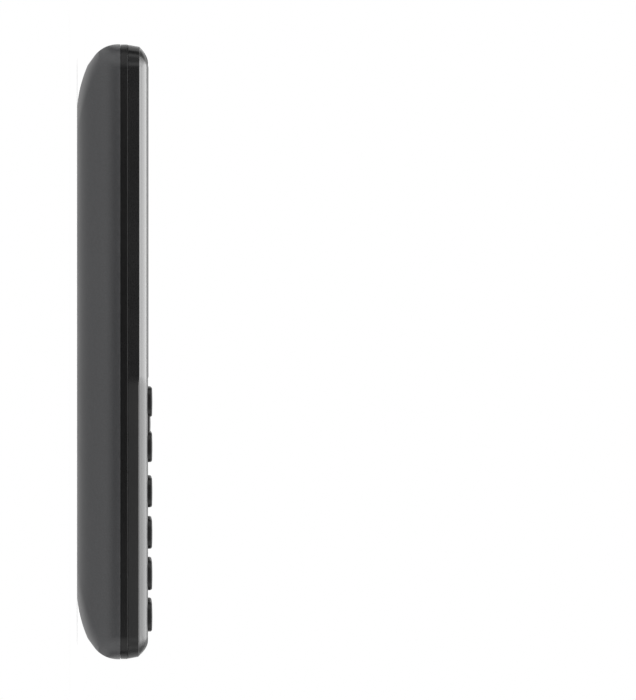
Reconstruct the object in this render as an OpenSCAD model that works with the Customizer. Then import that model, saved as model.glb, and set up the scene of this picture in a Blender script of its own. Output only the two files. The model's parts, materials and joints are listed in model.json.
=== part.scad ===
// Candy-bar feature phone: front shell, frame, clip-on back cover, keypad, display and the parts inside.
// X is to the right seen from the front, Y runs to the top end, Z comes out of the front.
// The origin is the centre of the flat back.

/* [Body] */
// Width over the sides
body_w = 50; // [48:0.5:56]
// Length over the ends
body_l = 118; // [116:1:126]
// Corner radius seen from the front
corner_r = 4.6; // [4:0.1:6]
// Height of the frame band that shows between cover and front shell
band_h = 1.4; // [1.2:0.1:1.6]

/* [Back cover] */
// Wall of the back cover
cover_wall = 1.2; // [1:0.1:1.4]
// Reach of the rounded long edges across the back
side_round_x = 9.3; // [8:0.1:10]
// Straight stretch of the sides below the seam
side_straight = 0.9; // [0.5:0.1:1.5]
// Reach of the bowed ends along the back
end_bow = 11.6; // [10:0.1:13]
// Rise of the bow where it would meet the end
bow_rise = 4.14; // [3.6:0.02:4.6]
// Slope of the facet across each end
facet_a = 37.3; // [34:0.1:42]
// Radius between the facet and the end
facet_r = 6; // [5:0.1:7]
// Clearance between the cover and the frame inside it
cover_fit = 0.25; // [0.2:0.05:0.4]
// Length of the pry notch along both sides of its corner
notch_l = 5.4; // [4:0.1:7]
// Depth of the pry notch
notch_d = 0.8; // [0.5:0.1:0.9]

/* [Front shell] */
// Height of the crowned edge
crown_h = 1.55; // [1.2:0.05:1.8]
// Inset of the shoulder below the crowned edge
shoulder_in = 0.65; // [0.4:0.05:0.9]
// Width of the crowned edge
crown_in = 3.05; // [2.6:0.05:3.3]
// Side wall of the front shell
front_wall = 1.45; // [1.2:0.05:1.6]
// Thickness of the plate that the keys pass through
plate_t = 1.2; // [1:0.1:1.5]

/* [Keypad] */
// Key height along the phone
key_h = 5.8; // [5.2:0.1:6.4]
// Space between key columns
key_gap_x = 2.6; // [2.2:0.1:3.2]
// Space between number rows
key_gap_y = 2.15; // [1.8:0.05:2.6]
// Space between the two rows of function keys
function_gap_y = 2.87; // [2.4:0.01:3.2]
// Distance from the side of the phone to the keys
key_side = 3.8; // [3.6:0.1:4.6]
// Distance from the bottom end to the keys
key_end = 5.3; // [5.2:0.1:6.5]
// Corner radius of a key
key_r = 1.6; // [1:0.1:2.2]
// Height of the keys above the front
key_rise = 0.85; // [0.6:0.05:1.1]
// Radius of the crown along a key
key_crown = 11; // [8:0.5:20]
// Height of the nav ring above the front
nav_rise = 0.45; // [0.3:0.05:0.7]
// Travel of a key
key_travel = 0.4; // [0.25:0.05:0.5]
// Thickness of a key's flange
flange_t = 0.6; // [0.5:0.05:0.8]
// Reach of a key's flange under the plate
flange_w = 0.5; // [0.4:0.05:0.6]
// Clearance round a key in its opening
key_clear = 0.15; // [0.1:0.01:0.2]
// Radius of the centre key
ok_r = 3.4; // [3:0.1:3.8]
// Thickness of the silicone mat
mat_t = 0.5; // [0.4:0.05:0.7]
// Height of the mat's nubs
nub_h = 0.5; // [0.4:0.05:0.7]
// Radius of a dome
dome_r = 2.2; // [1.8:0.1:2.6]
// Height of a dome
dome_h = 0.3; // [0.2:0.05:0.4]

/* [Display] */
// Lens thickness
lens_t = 0.95; // [0.8:0.05:1.1]
// Height of the lens above the front
lens_proud = 0.1; // [0:0.05:0.2]
// Space between the keys and the lens
lens_gap = 1.6; // [1.4:0.1:2.2]
// Rim of front shell left beside the lens
lens_rim = 0.25; // [0.2:0.05:0.6]
// Clearance round the lens
lens_clear = 0.1; // [0.05:0.01:0.15]
// Ledge under the lens
ledge_t = 0.7; // [0.5:0.05:0.8]
// Width of the display module
lcd_w = 38.4; // [36:0.1:39]
// Border of the display module round its visible area
lcd_border = 1.6; // [1.2:0.1:2.4]

/* [Board and frame] */
// Board thickness
board_t = 0.9; // [0.8:0.05:1.1]
// Height of the board above the frame's floor
board_rise = 1.4; // [1.3:0.05:1.7]
// Floor of the frame
floor_t = 0.8; // [0.7:0.05:1]
// Wall of the frame's tray
tray_wall = 1.2; // [1:0.1:1.3]
// Radius of the screws
screw_r = 0.65; // [0.5:0.05:0.7]
// Radius of the screw heads
screw_head_r = 1.25; // [1.1:0.05:1.3]

/* [Battery] */
// Battery width
battery_w = 34; // [32:0.5:36]
// Battery length
battery_l = 53; // [50:0.5:54]
// Battery thickness
battery_t = 5.1; // [4.8:0.1:5.8]
// Clearance round the battery
battery_gap = 0.2; // [0.15:0.05:0.3]

/* [Ports and torch] */
// Distance of the jack from the middle of the bottom end
jack_x = 9.2; // [8.8:0.1:10.5]
// Radius of the jack's bore
jack_r = 1.8; // [1.75:0.01:1.85]
// Length of the jack's body
jack_l = 12; // [11:0.5:12.5]
// Distance of the microphone from the middle of the bottom end
mic_x = 16.5; // [16:0.1:17.5]
// Width of the micro-USB shell
usb_w = 7.5; // [7.2:0.1:8]
// Height of the micro-USB shell
usb_h = 2.5; // [2.3:0.05:2.6]
// Length of the micro-USB shell
usb_l = 5.4; // [5:0.1:6]
// Distance of the torch from the middle of the top end
torch_x = 9.8; // [8.5:0.1:11]
// Outer radius of the torch bezel
torch_r = 4.84; // [4.4:0.02:5]
// Wall of the boss round the torch
torch_boss = 0.55; // [0.4:0.05:0.7]
// Radius of the torch LED
led_r = 2.45; // [2.2:0.05:2.5]

/* [Hidden] */
$fn = 48;
eps = 0.02;
seat = 0.05;
half_w = body_w / 2;
half_l = body_l / 2;

// Steps of the lofted skins
arc_steps = 8;
ring_n = 4 * (arc_steps + 1);
bow_steps = 7;
side_steps = 3;
crown_steps = 6;

// Heights from the back to the front, each from the one before it
z_floor = cover_wall + battery_t + 2 * battery_gap;
z_tray = z_floor + floor_t;
z_board = z_tray + board_rise;
z_split = z_board + board_t;
z_seam = z_split - band_h;
sheet_t = 0.1;
z_dome = z_split + sheet_t + dome_h;
z_mat = z_dome + seat + nub_h;
travel_spare = 0.1;
z_flange = z_mat + mat_t + key_travel + travel_spare;
z_plate = z_flange + flange_t + seat;
body_t = z_plate + plate_t;
z_shoulder = body_t - crown_h;
tape_t = 0.1;
z_recess = body_t - (lens_t - lens_proud) - tape_t;
z_ceiling = z_recess - ledge_t;

// Outer forms
side_round_z = z_seam - side_straight;
facet_drop = 0.37;
facet_z = z_seam - facet_drop;
corner_gain = 0.35;
split_in = 0.12;
band_in = 0.06;
end_relief = 0.2;

// Frame and cavity outlines
skirt_w = body_w - 2 * (cover_wall + cover_fit);
skirt_l = body_l - 2 * (cover_wall + cover_fit + end_relief);
skirt_r = corner_r - cover_wall - cover_fit;
tray_w = skirt_w - 2 * tray_wall;
tray_l = skirt_l - 2 * tray_wall;
tray_r = skirt_r - tray_wall;
cavity_w = body_w - 2 * (shoulder_in + front_wall);
cavity_l = body_l - 2 * (shoulder_in + front_wall);
cavity_r = corner_r - front_wall;
board_gap = 0.25;
board_w = tray_w - 2 * board_gap;
board_l = tray_l - 2 * board_gap;

// Keypad layout
key_w = (body_w - 2 * key_side - 2 * key_gap_x) / 3;
pitch_x = key_w + key_gap_x;
pitch_y = key_h + key_gap_y;
number_y = [for (row = [0:3]) key_end - half_l + key_h / 2 + (3 - row) * pitch_y];
call_y = number_y[0] + key_h + function_gap_y;
soft_y = call_y + key_h + function_gap_y;
keypad_top = soft_y + key_h / 2;
keypad_bottom = number_y[3] - key_h / 2;
nav_gap = 1.2;
nav_y = (soft_y + call_y) / 2;
nav_w = 2 * (pitch_x - key_w / 2 - nav_gap);
nav_h = soft_y - call_y + key_h;
nav_r = 4;
nav_clear = 0.25;
nav_flange = 0.4;
rocker_t = 0.3;
rocker_gap = 0.25;
z_rocker = z_flange + rocker_t;
number_names = ["key_1", "key_2", "key_3", "key_4", "key_5", "key_6",
                "key_7", "key_8", "key_9", "key_star", "key_0", "key_hash"];
number_keys = [for (i = [0:11]) [number_names[i], (i % 3 - 1) * pitch_x, number_y[floor(i / 3)]]];
function_keys = [["key_soft_left", -pitch_x, soft_y], ["key_soft_right", pitch_x, soft_y],
                 ["key_call", -pitch_x, call_y], ["key_end", pitch_x, call_y]];
keys = concat(number_keys, function_keys);
nav_dome = nav_w / 2 - dome_r - nav_flange;
dome_places = concat([for (k = keys) [k[1], k[2]]], [[0, nav_y]],
                     [for (a = [0:90:270]) [nav_dome * cos(a), nav_y + nav_dome * sin(a)]]);
mat_w = body_w - 2 * key_side + 2 * flange_w;
mat_y0 = keypad_bottom - flange_w;
mat_y1 = keypad_top + flange_w;
divide_gap = 0.35;
keypad_divide = mat_y1 + divide_gap;

// Display layout
lens_w = body_w - 2 * (shoulder_in + crown_in + lens_rim + lens_clear);
lens_y0 = keypad_top + lens_gap;
lens_y1 = half_l - shoulder_in - crown_in - lens_rim - lens_clear;
lens_r = 2.2;
chin = 2;
forehead = 5.4;
lcd_y0 = lens_y0 + chin;
lcd_y1 = lens_y1 - forehead;
view_w = lcd_w - 2 * lcd_border;
view_l = lcd_y1 - lcd_y0 - 2 * lcd_border;
lcd_y = (lcd_y0 + lcd_y1) / 2;
ear_y = lens_y1 - forehead / 2;
ear_w = 9;
ear_h = 1.4;
lcd_wall = 0.8;
lcd_base = 0.8;

// Ports and torch
jack_drop = 2.6;
jack_z = z_board - jack_drop;
jack_w = 7;
jack_wall = 0.55;
jack_end = 1;
jack_front = 3.7;
jack_lip = 0.4;
mic_w = 3.8;
mic_l = 3;
mic_t = 1.1;
mic_hole = 0.55;
mic_front = 4.9;
mic_drop = 0.9;
mic_y = mic_front - half_l;
mic_z = z_board - mic_drop;
boot_w = 2.4;
boot_gap = 0.1;
boot_y0 = cover_wall + cover_fit + end_relief + tray_wall + boot_gap - half_l;
usb_z = z_board - seat - usb_h / 2;
usb_wall = 0.25;
usb_front = 0.5;
usb_back = 0.6;
port_clear = 0.2;
torch_drop = 0.4;
torch_z = z_seam - torch_drop;
torch_depth = 3.55;
torch_clear = 0.1;
boss_l = 7;
boss_in = 0.1;
lens_ring = 0.55;
torch_face = 0.15;
torch_cup = 0.95;
led_l = 4.6;
led_tip = 1.6;

// Battery bay and card sockets
bay_wall = 0.9;
bay_h = 3;
bay_gap = 0.5;
battery_y0 = jack_front + jack_l + bay_wall + 2 * battery_gap + bay_gap - half_l;
battery_y = battery_y0 + battery_l / 2;
battery_r = min(2.4, battery_t / 2 - 0.1);
contact_y = battery_y0 + battery_l + battery_gap;
contact_w = 9;
contact_d = 2.2;
contact_h = 2.6;
card_gap = 0.3;
card_lid = 0.4;
card_roof = 0.2;
card_edge = 1;
sim_w = 15.6;
sim_l = 14;
sim_x = sim_w / 2 + 2 * card_gap;
sim_in = 10.5;
sim_y = battery_y0 + sim_in + sim_l / 2;
card_w = 13.6;
card_l = 12;
card_space = 4;
card_y = sim_y + sim_l / 2 + card_space + card_l / 2;

// Camera, loudspeaker and motor, down from the top end
camera_end = 15;
camera_y = half_l - camera_end;
camera_r = 2.6;
camera_w = 8;
camera_h = 2.6;
window_r = 3.6;
window_t = 0.6;
window_in = 0.1;
window_clear = 0.05;
speaker_side = 13;
speaker_w = body_w - 2 * speaker_side;
speaker_l = 12;
speaker_gap = 1.3;
speaker_y = camera_y - camera_w / 2 - speaker_gap - speaker_l / 2;
speaker_lift = 0.3;
speaker_rim_x = 4;
speaker_rim_y = 1;
slot_side = 5.5;
slot_w = speaker_w - 2 * slot_side;
slot_h = 1.1;
slot_pitch = 2.1;
mesh_edge = 1;
motor_r = 2.05;
motor_l = 9;
motor_side = 8.5;
motor_x = motor_side - half_w;
motor_back = 2;
motor_y0 = speaker_y - motor_back;
motor_gap = 0.45;
motor_z = z_floor - motor_r - motor_gap;
weight_r = 2.3;
weight_l = 3.4;
weight_gap = 0.3;
shaft_r = 0.4;

// Screws: at the top corners, below the display and outside the microphone
screw_tip = 0.45;
screw_l = z_ceiling - screw_tip - z_floor;
post_r = screw_r + 0.6;
foot_r = post_r + 0.3;
screw_side = 4.5;
screw_end = 3.25;
post_gap = 0.1;
screw_x = half_w - screw_side;
screw_places = [for (s = [-1, 1]) each [[s * screw_x, half_l - screw_end],
                                        [s * screw_x, lcd_y0 - post_gap - post_r],
                                        [s * (mic_x + boot_w / 2 + post_gap + foot_r), screw_end - half_l]]];

// Rounded rectangle with true corner arcs
module rounded(w, l, r) {
    square([w - 2 * r, l], center = true);
    square([w, l - 2 * r], center = true);
    for (x = [-1, 1], y = [-1, 1])
        translate([x * (w / 2 - r), y * (l / 2 - r)]) circle(r);
}

// Plate with a rounded outline from height z0 to z1
module slab(w, l, r, z0, z1) {
    translate([0, 0, z0]) linear_extrude(z1 - z0) rounded(w, l, r);
}

// Block from corner to corner
module block(low, high) {
    translate(low) cube(high - low);
}

// Cylinder along Y from y0 to y1
module bar_y(x, z, r, y0, y1) {
    translate([x, y0, z]) rotate([-90, 0, 0]) cylinder(r = r, h = y1 - y0);
}

// Points of one rounded outline, given as [z, half width, half length, corner radius]
function ring(v) =
    [for (c = [0:3], k = [0:arc_steps])
        let (a = 90 * (c + k / arc_steps), sx = c == 0 || c == 3 ? 1 : -1, sy = c < 2 ? 1 : -1)
        [sx * (v[1] - v[3]) + v[3] * cos(a), sy * (v[2] - v[3]) + v[3] * sin(a), v[0]]];

// Skin over a stack of rounded outlines
module loft(levels) {
    last = len(levels) - 1;
    sides = [for (i = [0:last - 1], j = [0:ring_n - 1])
                let (a = i * ring_n + j, b = i * ring_n + (j + 1) % ring_n)
                each [[a, a + ring_n, b + ring_n], [a, b + ring_n, b]]];
    caps = [[for (j = [0:ring_n - 1]) j], [for (j = [ring_n - 1:-1:0]) last * ring_n + j]];
    polyhedron(points = [for (v = levels) each ring(v)], faces = concat(sides, caps));
}

// Half width of the back cover at height z, for a skin lying a depth inside the outer one
function cover_half_w(z, depth) =
    let (q = max(0, (side_round_z - z) / (side_round_z - depth)))
    half_w - side_round_x + (side_round_x - depth) * sqrt(max(0, 1 - q * q));

function cover_level(z, length, depth) =
    let (w = cover_half_w(z, depth))
    [z, w, length, corner_r - depth + corner_gain * (half_w - depth - w)];

function cover_levels(depth, z_top) =
    let (z_end = depth + bow_rise)
    concat([for (i = [0:bow_steps])
                let (f = i / bow_steps, z = depth + bow_rise * (f + 3 * f * f) / 4)
                cover_level(z, half_l - end_bow + (end_bow - depth) * f, depth)],
           [for (i = [1:side_steps])
                cover_level(z_end + (side_round_z - z_end) * i / side_steps, half_l - depth, depth)],
           [cover_level(z_top, half_l - depth, depth)]);

// Sliver outside the facet and its rounded turn into the end, in distance from the end and height
module end_trim_outline(depth) {
    turn = facet_r - depth;
    low = [facet_r - turn * sin(facet_a), facet_z - turn * cos(facet_a)];
    foot = [low[0] + (low[1] + 1) / tan(facet_a), -1];
    difference() {
        polygon([[-1, facet_z], [depth, facet_z], low, foot, [-1, -1]]);
        translate([facet_r, facet_z]) circle(turn, $fn = 96);
    }
}

module end_trim(depth) {
    for (s = [0, 1])
        mirror([0, s, 0])
            translate([-half_w - 1, half_l, 0]) rotate([90, 0, 90])
                linear_extrude(body_w + 2) mirror([1, 0]) end_trim_outline(depth);
}

// Back cover's form: rounded sides, bowed back and faceted ends
module cover_form(depth, z_top) {
    difference() {
        loft(cover_levels(depth, z_top));
        end_trim(depth);
    }
}

// Slot at one corner where a fingernail lifts the cover
module pry_notch() {
    notch_low = 0.3;
    notch_high = 0.55;
    intersection() {
        block([half_w - notch_l, -half_l - 1, z_seam - notch_low],
              [half_w + 1, notch_l - half_l, z_seam + notch_high]);
        difference() {
            block([0, -half_l - 2, z_seam - 1], [half_w + 2, 0, z_seam + 1]);
            slab(body_w - 2 * notch_d, body_l - 2 * notch_d, corner_r - notch_d, z_seam - 2, z_seam + 2);
        }
    }
}

// Room for the micro-USB shell through the bottom end
module usb_room(z_top) {
    block([-usb_w / 2 - port_clear, -half_l - 1, usb_z - usb_h / 2 - port_clear],
          [usb_w / 2 + port_clear, usb_front + usb_l + 2 * port_clear - half_l, z_top]);
}

// Room for the torch through the top end
module torch_room(y0) {
    bar_y(torch_x, torch_z, torch_r + torch_clear, y0, half_l + 1);
}

module back_cover() {
    clip_l = 7;
    clip_h = 0.15;
    clip_t = 0.5;
    clip_drop = 0.6;
    clip_pitch = 30;
    window_bed = window_in + window_clear;
    color([0.3, 0.3, 0.32])
    union() {
        difference() {
            union() {
                cover_form(0, z_seam);
                intersection() {
                    bar_y(torch_x, torch_z, torch_r + torch_boss, half_l - boss_l, half_l - boss_in);
                    block([0, 0, 0], [half_w, half_l, z_seam]);
                }
            }
            cover_form(cover_wall, z_seam + 1);
            torch_room(half_l - boss_l - 1);
            usb_room(z_seam + 1);
            bar_y(-jack_x, jack_z, jack_r + port_clear, -half_l - 1, jack_front - half_l);
            bar_y(-mic_x, mic_z, mic_hole, -half_l - 1, mic_y);
            translate([0, camera_y, -1]) cylinder(r = camera_r, h = cover_wall + 2);
            translate([0, camera_y, -1]) cylinder(r = window_r + window_clear, h = 1 + window_t + window_bed);
            for (i = [-2:2])
                translate([0, speaker_y + i * slot_pitch, 0])
                    slab(slot_w, slot_h, slot_h / 2 - eps, -1, cover_wall + 1);
            pry_notch();
        }
        for (s = [-1, 1], i = [-1:1])
            translate([s * (half_w - cover_wall - clip_h / 2 + eps), i * clip_pitch, z_seam - clip_drop])
                cube([clip_h + 2 * eps, clip_l, clip_t], center = true);
    }
}

module camera_window() {
    color([0.05, 0.05, 0.06, 0.8])
    translate([0, camera_y, window_in]) cylinder(r = window_r, h = window_t);
}

module speaker_mesh() {
    mesh_t = 0.175;
    mesh_l = 4 * slot_pitch + slot_h + 2 * mesh_edge;
    color([0.12, 0.12, 0.12])
    translate([0, speaker_y, cover_wall + seat / 2])
        slab(slot_w + 2 * mesh_edge, mesh_l, mesh_edge, 0, mesh_t);
}

module mid_frame() {
    ledge = 1;
    bay_w = battery_w + 2 * battery_gap;
    bay_l = battery_l + 2 * battery_gap;
    cradle_x = motor_r + 0.15;
    cradle_t = 0.8;
    cradle_h = 3;
    head_depth = 0.85;
    bore_gap = 0.1;
    color([0.1, 0.1, 0.105])
    difference() {
        union() {
            difference() {
                union() {
                    slab(body_w - 2 * band_in, body_l - 2 * band_in, corner_r - band_in, z_seam, z_split);
                    slab(skirt_w, skirt_l, skirt_r, z_floor, z_seam + eps);
                }
                slab(tray_w, tray_l, tray_r, z_tray, z_split + 1);
            }
            difference() {
                slab(tray_w + eps, tray_l + eps, tray_r, z_tray - eps, z_board - seat);
                slab(tray_w - 2 * ledge, tray_l - 2 * ledge, tray_r, z_tray - 1, z_board);
            }
            translate([0, battery_y, 0])
                difference() {
                    slab(bay_w + 2 * bay_wall, bay_l + 2 * bay_wall, 1, z_floor - bay_h, z_floor + eps);
                    slab(bay_w, bay_l, 0.5, z_floor - bay_h - 1, z_floor);
                }
            intersection() {
                slab(skirt_w, skirt_l, skirt_r, z_tray - eps, z_board - seat);
                for (p = screw_places)
                    translate([p[0], p[1], z_tray - eps]) cylinder(r = foot_r, h = board_rise);
            }
            for (s = [-1, 1])
                translate([motor_x + s * (cradle_x + cradle_t / 2), motor_y0 + motor_l / 2,
                           z_floor - cradle_h / 2 + eps])
                    cube([cradle_t, motor_l, cradle_h], center = true);
        }
        for (p = screw_places)
            translate([p[0], p[1], z_floor - 1]) {
                cylinder(r = screw_r + bore_gap, h = z_split);
                cylinder(r = screw_head_r + bore_gap, h = 1 + head_depth);
            }
        for (s = [-1, 1])
            translate([s * sim_x, sim_y, 0])
                slab(sim_w + 2 * card_gap, sim_l + 2 * card_gap, 0.5, z_floor - 1, z_board + 1);
        translate([0, card_y, 0])
            slab(card_w + 2 * card_gap, card_l + 2 * card_gap, 0.5, z_floor - 1, z_board + 1);
        block([-contact_w / 2 - card_gap, contact_y - 1, z_floor - bay_h - 1],
              [contact_w / 2 + card_gap, contact_y + contact_d + card_gap, z_board]);
        translate([0, camera_y, 0])
            slab(camera_w + 2 * card_gap, camera_w + 2 * card_gap, 0.5, z_floor - 1, z_board + 1);
        block([-jack_x - jack_w / 2 - port_clear, -half_l + jack_front - port_clear, z_floor - 1],
              [-jack_x + jack_w / 2 + port_clear, jack_front + jack_l + port_clear - half_l, z_board]);
        bar_y(-jack_x, jack_z, jack_r, -half_l - 1, jack_front - half_l);
        bar_y(-jack_x, jack_z, jack_r + port_clear, -half_l - 1, jack_front - port_clear - jack_lip - half_l);
        bar_y(-mic_x, mic_z, mic_hole, -half_l - 1, mic_y);
        block([-mic_x - boot_w / 2 - port_clear, boot_y0 - boot_gap, z_tray],
              [boot_w / 2 + port_clear - mic_x, mic_y, z_board]);
        usb_room(usb_z + usb_h / 2 + port_clear);
        torch_room(half_l - torch_depth - led_l);
        pry_notch();
    }
}

// Levels of the front shell: drafted side, shoulder, then a crown that flattens into the front
draft_h = 0.8;
draft_in = 0.55;
front_levels = concat(
    [front_level(z_split, split_in),
     front_level(z_split + draft_h * (z_shoulder - z_split), draft_in * shoulder_in)],
    [for (i = [0:crown_steps])
        let (t = i / crown_steps)
        front_level(z_shoulder + crown_h * (1 - (1 - t) * (1 - t)), shoulder_in + crown_in * t)]);

function front_level(z, inset) = [z, half_w - inset, half_l - inset, corner_r - inset];

module key_openings() {
    for (k = keys)
        translate([k[1], k[2], 0])
            slab(key_w + 2 * key_clear, key_h + 2 * key_clear, key_r + key_clear, z_plate - 1, body_t + 1);
    translate([0, nav_y, 0])
        slab(nav_w + 2 * nav_clear, nav_h + 2 * nav_clear, nav_r + nav_clear, z_plate - 1, body_t + 1);
}

module front_housing() {
    lens_l = lens_y1 - lens_y0;
    bore_spare = 0.3;
    color([0.17, 0.17, 0.18])
    difference() {
        union() {
            difference() {
                loft(front_levels);
                slab(cavity_w, cavity_l, cavity_r, z_split - 1, z_ceiling);
                intersection() {
                    slab(cavity_w, cavity_l, cavity_r, z_split - 1, z_plate);
                    block([-half_w, -half_l, 0], [half_w, keypad_divide, body_t]);
                }
                key_openings();
                translate([0, (lens_y0 + lens_y1) / 2, 0])
                    slab(lens_w + 2 * lens_clear, lens_l + 2 * lens_clear, lens_r + lens_clear,
                         z_recess, body_t + 1);
                translate([0, lcd_y, 0]) slab(view_w, view_l, 1, z_ceiling - 1, z_recess + eps);
                translate([0, ear_y, 0])
                    slab(ear_w, ear_h, ear_h / 2 - eps, z_ceiling - 1, z_recess + eps);
                torch_room(half_l - torch_depth - torch_clear);
            }
            for (p = screw_places) {
                top = p[1] < keypad_divide ? z_plate : z_ceiling;
                translate([p[0], p[1], z_split + seat])
                    cylinder(r = post_r, h = top - z_split - seat + eps);
            }
        }
        for (p = screw_places)
            translate([p[0], p[1], z_split - 1])
                cylinder(r = screw_r + seat, h = z_floor + screw_l - z_split + 1 + bore_spare);
    }
}

module display_lens() {
    lens_l = lens_y1 - lens_y0;
    color([0.03, 0.03, 0.035, 0.85])
    difference() {
        translate([0, (lens_y0 + lens_y1) / 2, 0])
            slab(lens_w, lens_l, lens_r, z_recess + tape_t, body_t + lens_proud);
        translate([0, ear_y, 0]) slab(ear_w, ear_h, ear_h / 2 - eps, z_recess, body_t + 1);
    }
}

module lens_tape() {
    tape_in = 0.4;
    band = 2.45;
    ear_edge = 0.5;
    lens_l = lens_y1 - lens_y0;
    color([0.1, 0.1, 0.1])
    difference() {
        translate([0, (lens_y0 + lens_y1) / 2, 0])
            slab(lens_w - 2 * tape_in, lens_l - 2 * tape_in, lens_r - tape_in, z_recess, z_recess + tape_t);
        translate([0, lcd_y, 0])
            slab(lens_w - 2 * (tape_in + band), view_l + 2 * ear_edge, 1, z_recess - 1, z_recess + 1);
        translate([0, ear_y, 0])
            slab(ear_w + 2 * ear_edge, ear_h + 2 * ear_edge, ear_h / 2, z_recess - 1, z_recess + 1);
    }
}

module lcd_frame() {
    color([0.8, 0.8, 0.82])
    translate([0, lcd_y, 0])
        difference() {
            slab(lcd_w, lcd_y1 - lcd_y0, 0.6, z_split + seat, z_ceiling - seat);
            slab(lcd_w - 2 * lcd_wall, lcd_y1 - lcd_y0 - 2 * lcd_wall, 0.4,
                 z_split + seat + lcd_base, z_ceiling + 1);
        }
}

module lcd_panel() {
    panel_gap = 0.1;
    in = 2 * (lcd_wall + panel_gap);
    color([0.08, 0.09, 0.11])
    translate([0, lcd_y, 0])
        slab(lcd_w - in, lcd_y1 - lcd_y0 - in, 0.3, z_split + seat + lcd_base, z_ceiling - seat);
}

module lcd_flex() {
    flex_w = 14;
    flex_t = 0.2;
    color([0.75, 0.5, 0.15])
    block([-flex_w / 2, keypad_divide + divide_gap, z_split], [flex_w / 2, lcd_y0, z_split + flex_t]);
}

module earpiece() {
    ear_gap = 0.4;
    capsule_r = 1.2;
    color([0.2, 0.2, 0.2])
    translate([0, ear_y, 0])
        slab(ear_w + 1, forehead - 2 * ear_gap, capsule_r, z_split + seat, z_ceiling - seat);
}

module earpiece_mesh() {
    gap = 0.06;
    rise = 0.2;
    color([0.35, 0.35, 0.36])
    translate([0, ear_y, 0])
        slab(ear_w - 2 * gap, ear_h - 2 * gap, ear_h / 2 - gap - eps,
             z_ceiling - seat, z_recess + tape_t + rise);
}

module main_board() {
    torch_gap = 0.6;
    color([0.05, 0.25, 0.12])
    difference() {
        slab(board_w, board_l, tray_r - board_gap, z_board, z_split);
        for (p = screw_places)
            translate([p[0], p[1], z_board - 1]) cylinder(r = screw_r + 0.2, h = board_t + 2);
        block([torch_x - torch_r - torch_gap, half_l - torch_depth - led_l - torch_gap, z_board - 1],
              [torch_x + torch_r + torch_gap, half_l, z_split + 1]);
    }
}

module shield_cans() {
    can_gap = 0.1;
    can_r = 0.6;
    can_in = 1;
    can_w = 12;
    can_l = 9;
    can_side = 6.2;
    can_end = 6.5;
    color([0.75, 0.76, 0.78]) {
        translate([0, speaker_y, 0])
            slab(speaker_w - 2 * can_in, speaker_l, can_r, z_tray + can_gap, z_board);
        translate([half_w - can_side - can_w / 2, can_end + can_l / 2 - half_l, 0])
            slab(can_w, can_l, can_r, z_tray + can_gap, z_board);
    }
}

module dome_sheet() {
    color([0.85, 0.85, 0.8])
    union() {
        translate([0, (mat_y0 + mat_y1) / 2, 0]) slab(mat_w, mat_y1 - mat_y0, 1, z_split, z_split + sheet_t);
        for (p = dome_places)
            translate([p[0], p[1], z_split]) cylinder(r1 = dome_r, r2 = 0.6 * dome_r, h = sheet_t + dome_h);
    }
}

// Silicone mat with a nub over every dome and a rim that stands on the dome sheet
module keypad_mat() {
    rim = 0.7;
    nub_r = 0.9;
    color([0.55, 0.55, 0.57])
    union() {
        translate([0, (mat_y0 + mat_y1) / 2, 0])
            difference() {
                slab(mat_w, mat_y1 - mat_y0, 1, z_split + sheet_t + seat, z_mat + mat_t);
                slab(mat_w - 2 * rim, mat_y1 - mat_y0 - 2 * rim, 1, z_split, z_mat);
            }
        for (p = dome_places)
            translate([p[0], p[1], z_mat - nub_h]) cylinder(r = nub_r, h = nub_h + eps);
    }
}

// Key with a flange below the plate and a crowned top
module phone_key(place) {
    top = body_t + key_rise;
    translate([place[1], place[2], 0])
        union() {
            slab(key_w + 2 * flange_w, key_h + 2 * flange_w, key_r, z_flange, z_flange + flange_t);
            intersection() {
                slab(key_w, key_h, key_r, z_flange, top);
                translate([-body_w, 0, top - key_crown]) rotate([0, 90, 0])
                    cylinder(r = key_crown, h = 2 * body_w, $fn = 96);
            }
        }
}

module nav_rocker() {
    color([0.3, 0.3, 0.32])
    translate([0, nav_y, 0])
        difference() {
            slab(nav_w + 2 * nav_flange, nav_h + 2 * nav_flange, nav_r + nav_flange, z_flange, z_rocker);
            translate([0, 0, z_flange - 1]) cylinder(r = ok_r + flange_w + nav_clear, h = 3);
        }
}

module nav_ring() {
    dish_r = 30;
    dish_d = 0.25;
    top = body_t + nav_rise;
    color([0.25, 0.25, 0.27])
    translate([0, nav_y, 0])
        difference() {
            slab(nav_w, nav_h, nav_r, z_rocker + rocker_gap, top);
            translate([0, 0, z_flange]) cylinder(r = ok_r + nav_clear, h = 5);
            translate([0, 0, top + dish_r - dish_d]) sphere(r = dish_r, $fn = 96);
        }
}

module nav_ok() {
    ok_rise = 0.1;
    top = body_t + nav_rise + ok_rise;
    crown = 24;
    color([0.2, 0.2, 0.22])
    translate([0, nav_y, 0])
        union() {
            translate([0, 0, z_flange]) cylinder(r = ok_r + flange_w, h = rocker_t);
            intersection() {
                translate([0, 0, z_flange]) cylinder(r = ok_r, h = top - z_flange);
                translate([0, 0, top - crown]) sphere(r = crown, $fn = 96);
            }
        }
}

// Outline of the micro-USB mouth, narrow side toward the front of the phone
module usb_outline(w, h) {
    cut = 0.9;
    polygon([[-w / 2, -h / 2], [w / 2, -h / 2], [w / 2, h / 2 - cut], [w / 2 - cut, h / 2],
             [cut - w / 2, h / 2], [-w / 2, h / 2 - cut]]);
}

// Extrusion of a port outline along Y from y0 to y1 at the middle of the bottom end
module usb_run(w, h, y0, y1) {
    translate([0, y1, usb_z]) rotate([90, 0, 0]) linear_extrude(y1 - y0) usb_outline(w, h);
}

module usb_shell() {
    y0 = usb_front - half_l;
    color([0.8, 0.8, 0.8])
    difference() {
        usb_run(usb_w, usb_h, y0, y0 + usb_l);
        usb_run(usb_w - 2 * usb_wall, usb_h - 2 * usb_wall, y0 - 1, y0 + usb_l - usb_back);
    }
}

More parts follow.
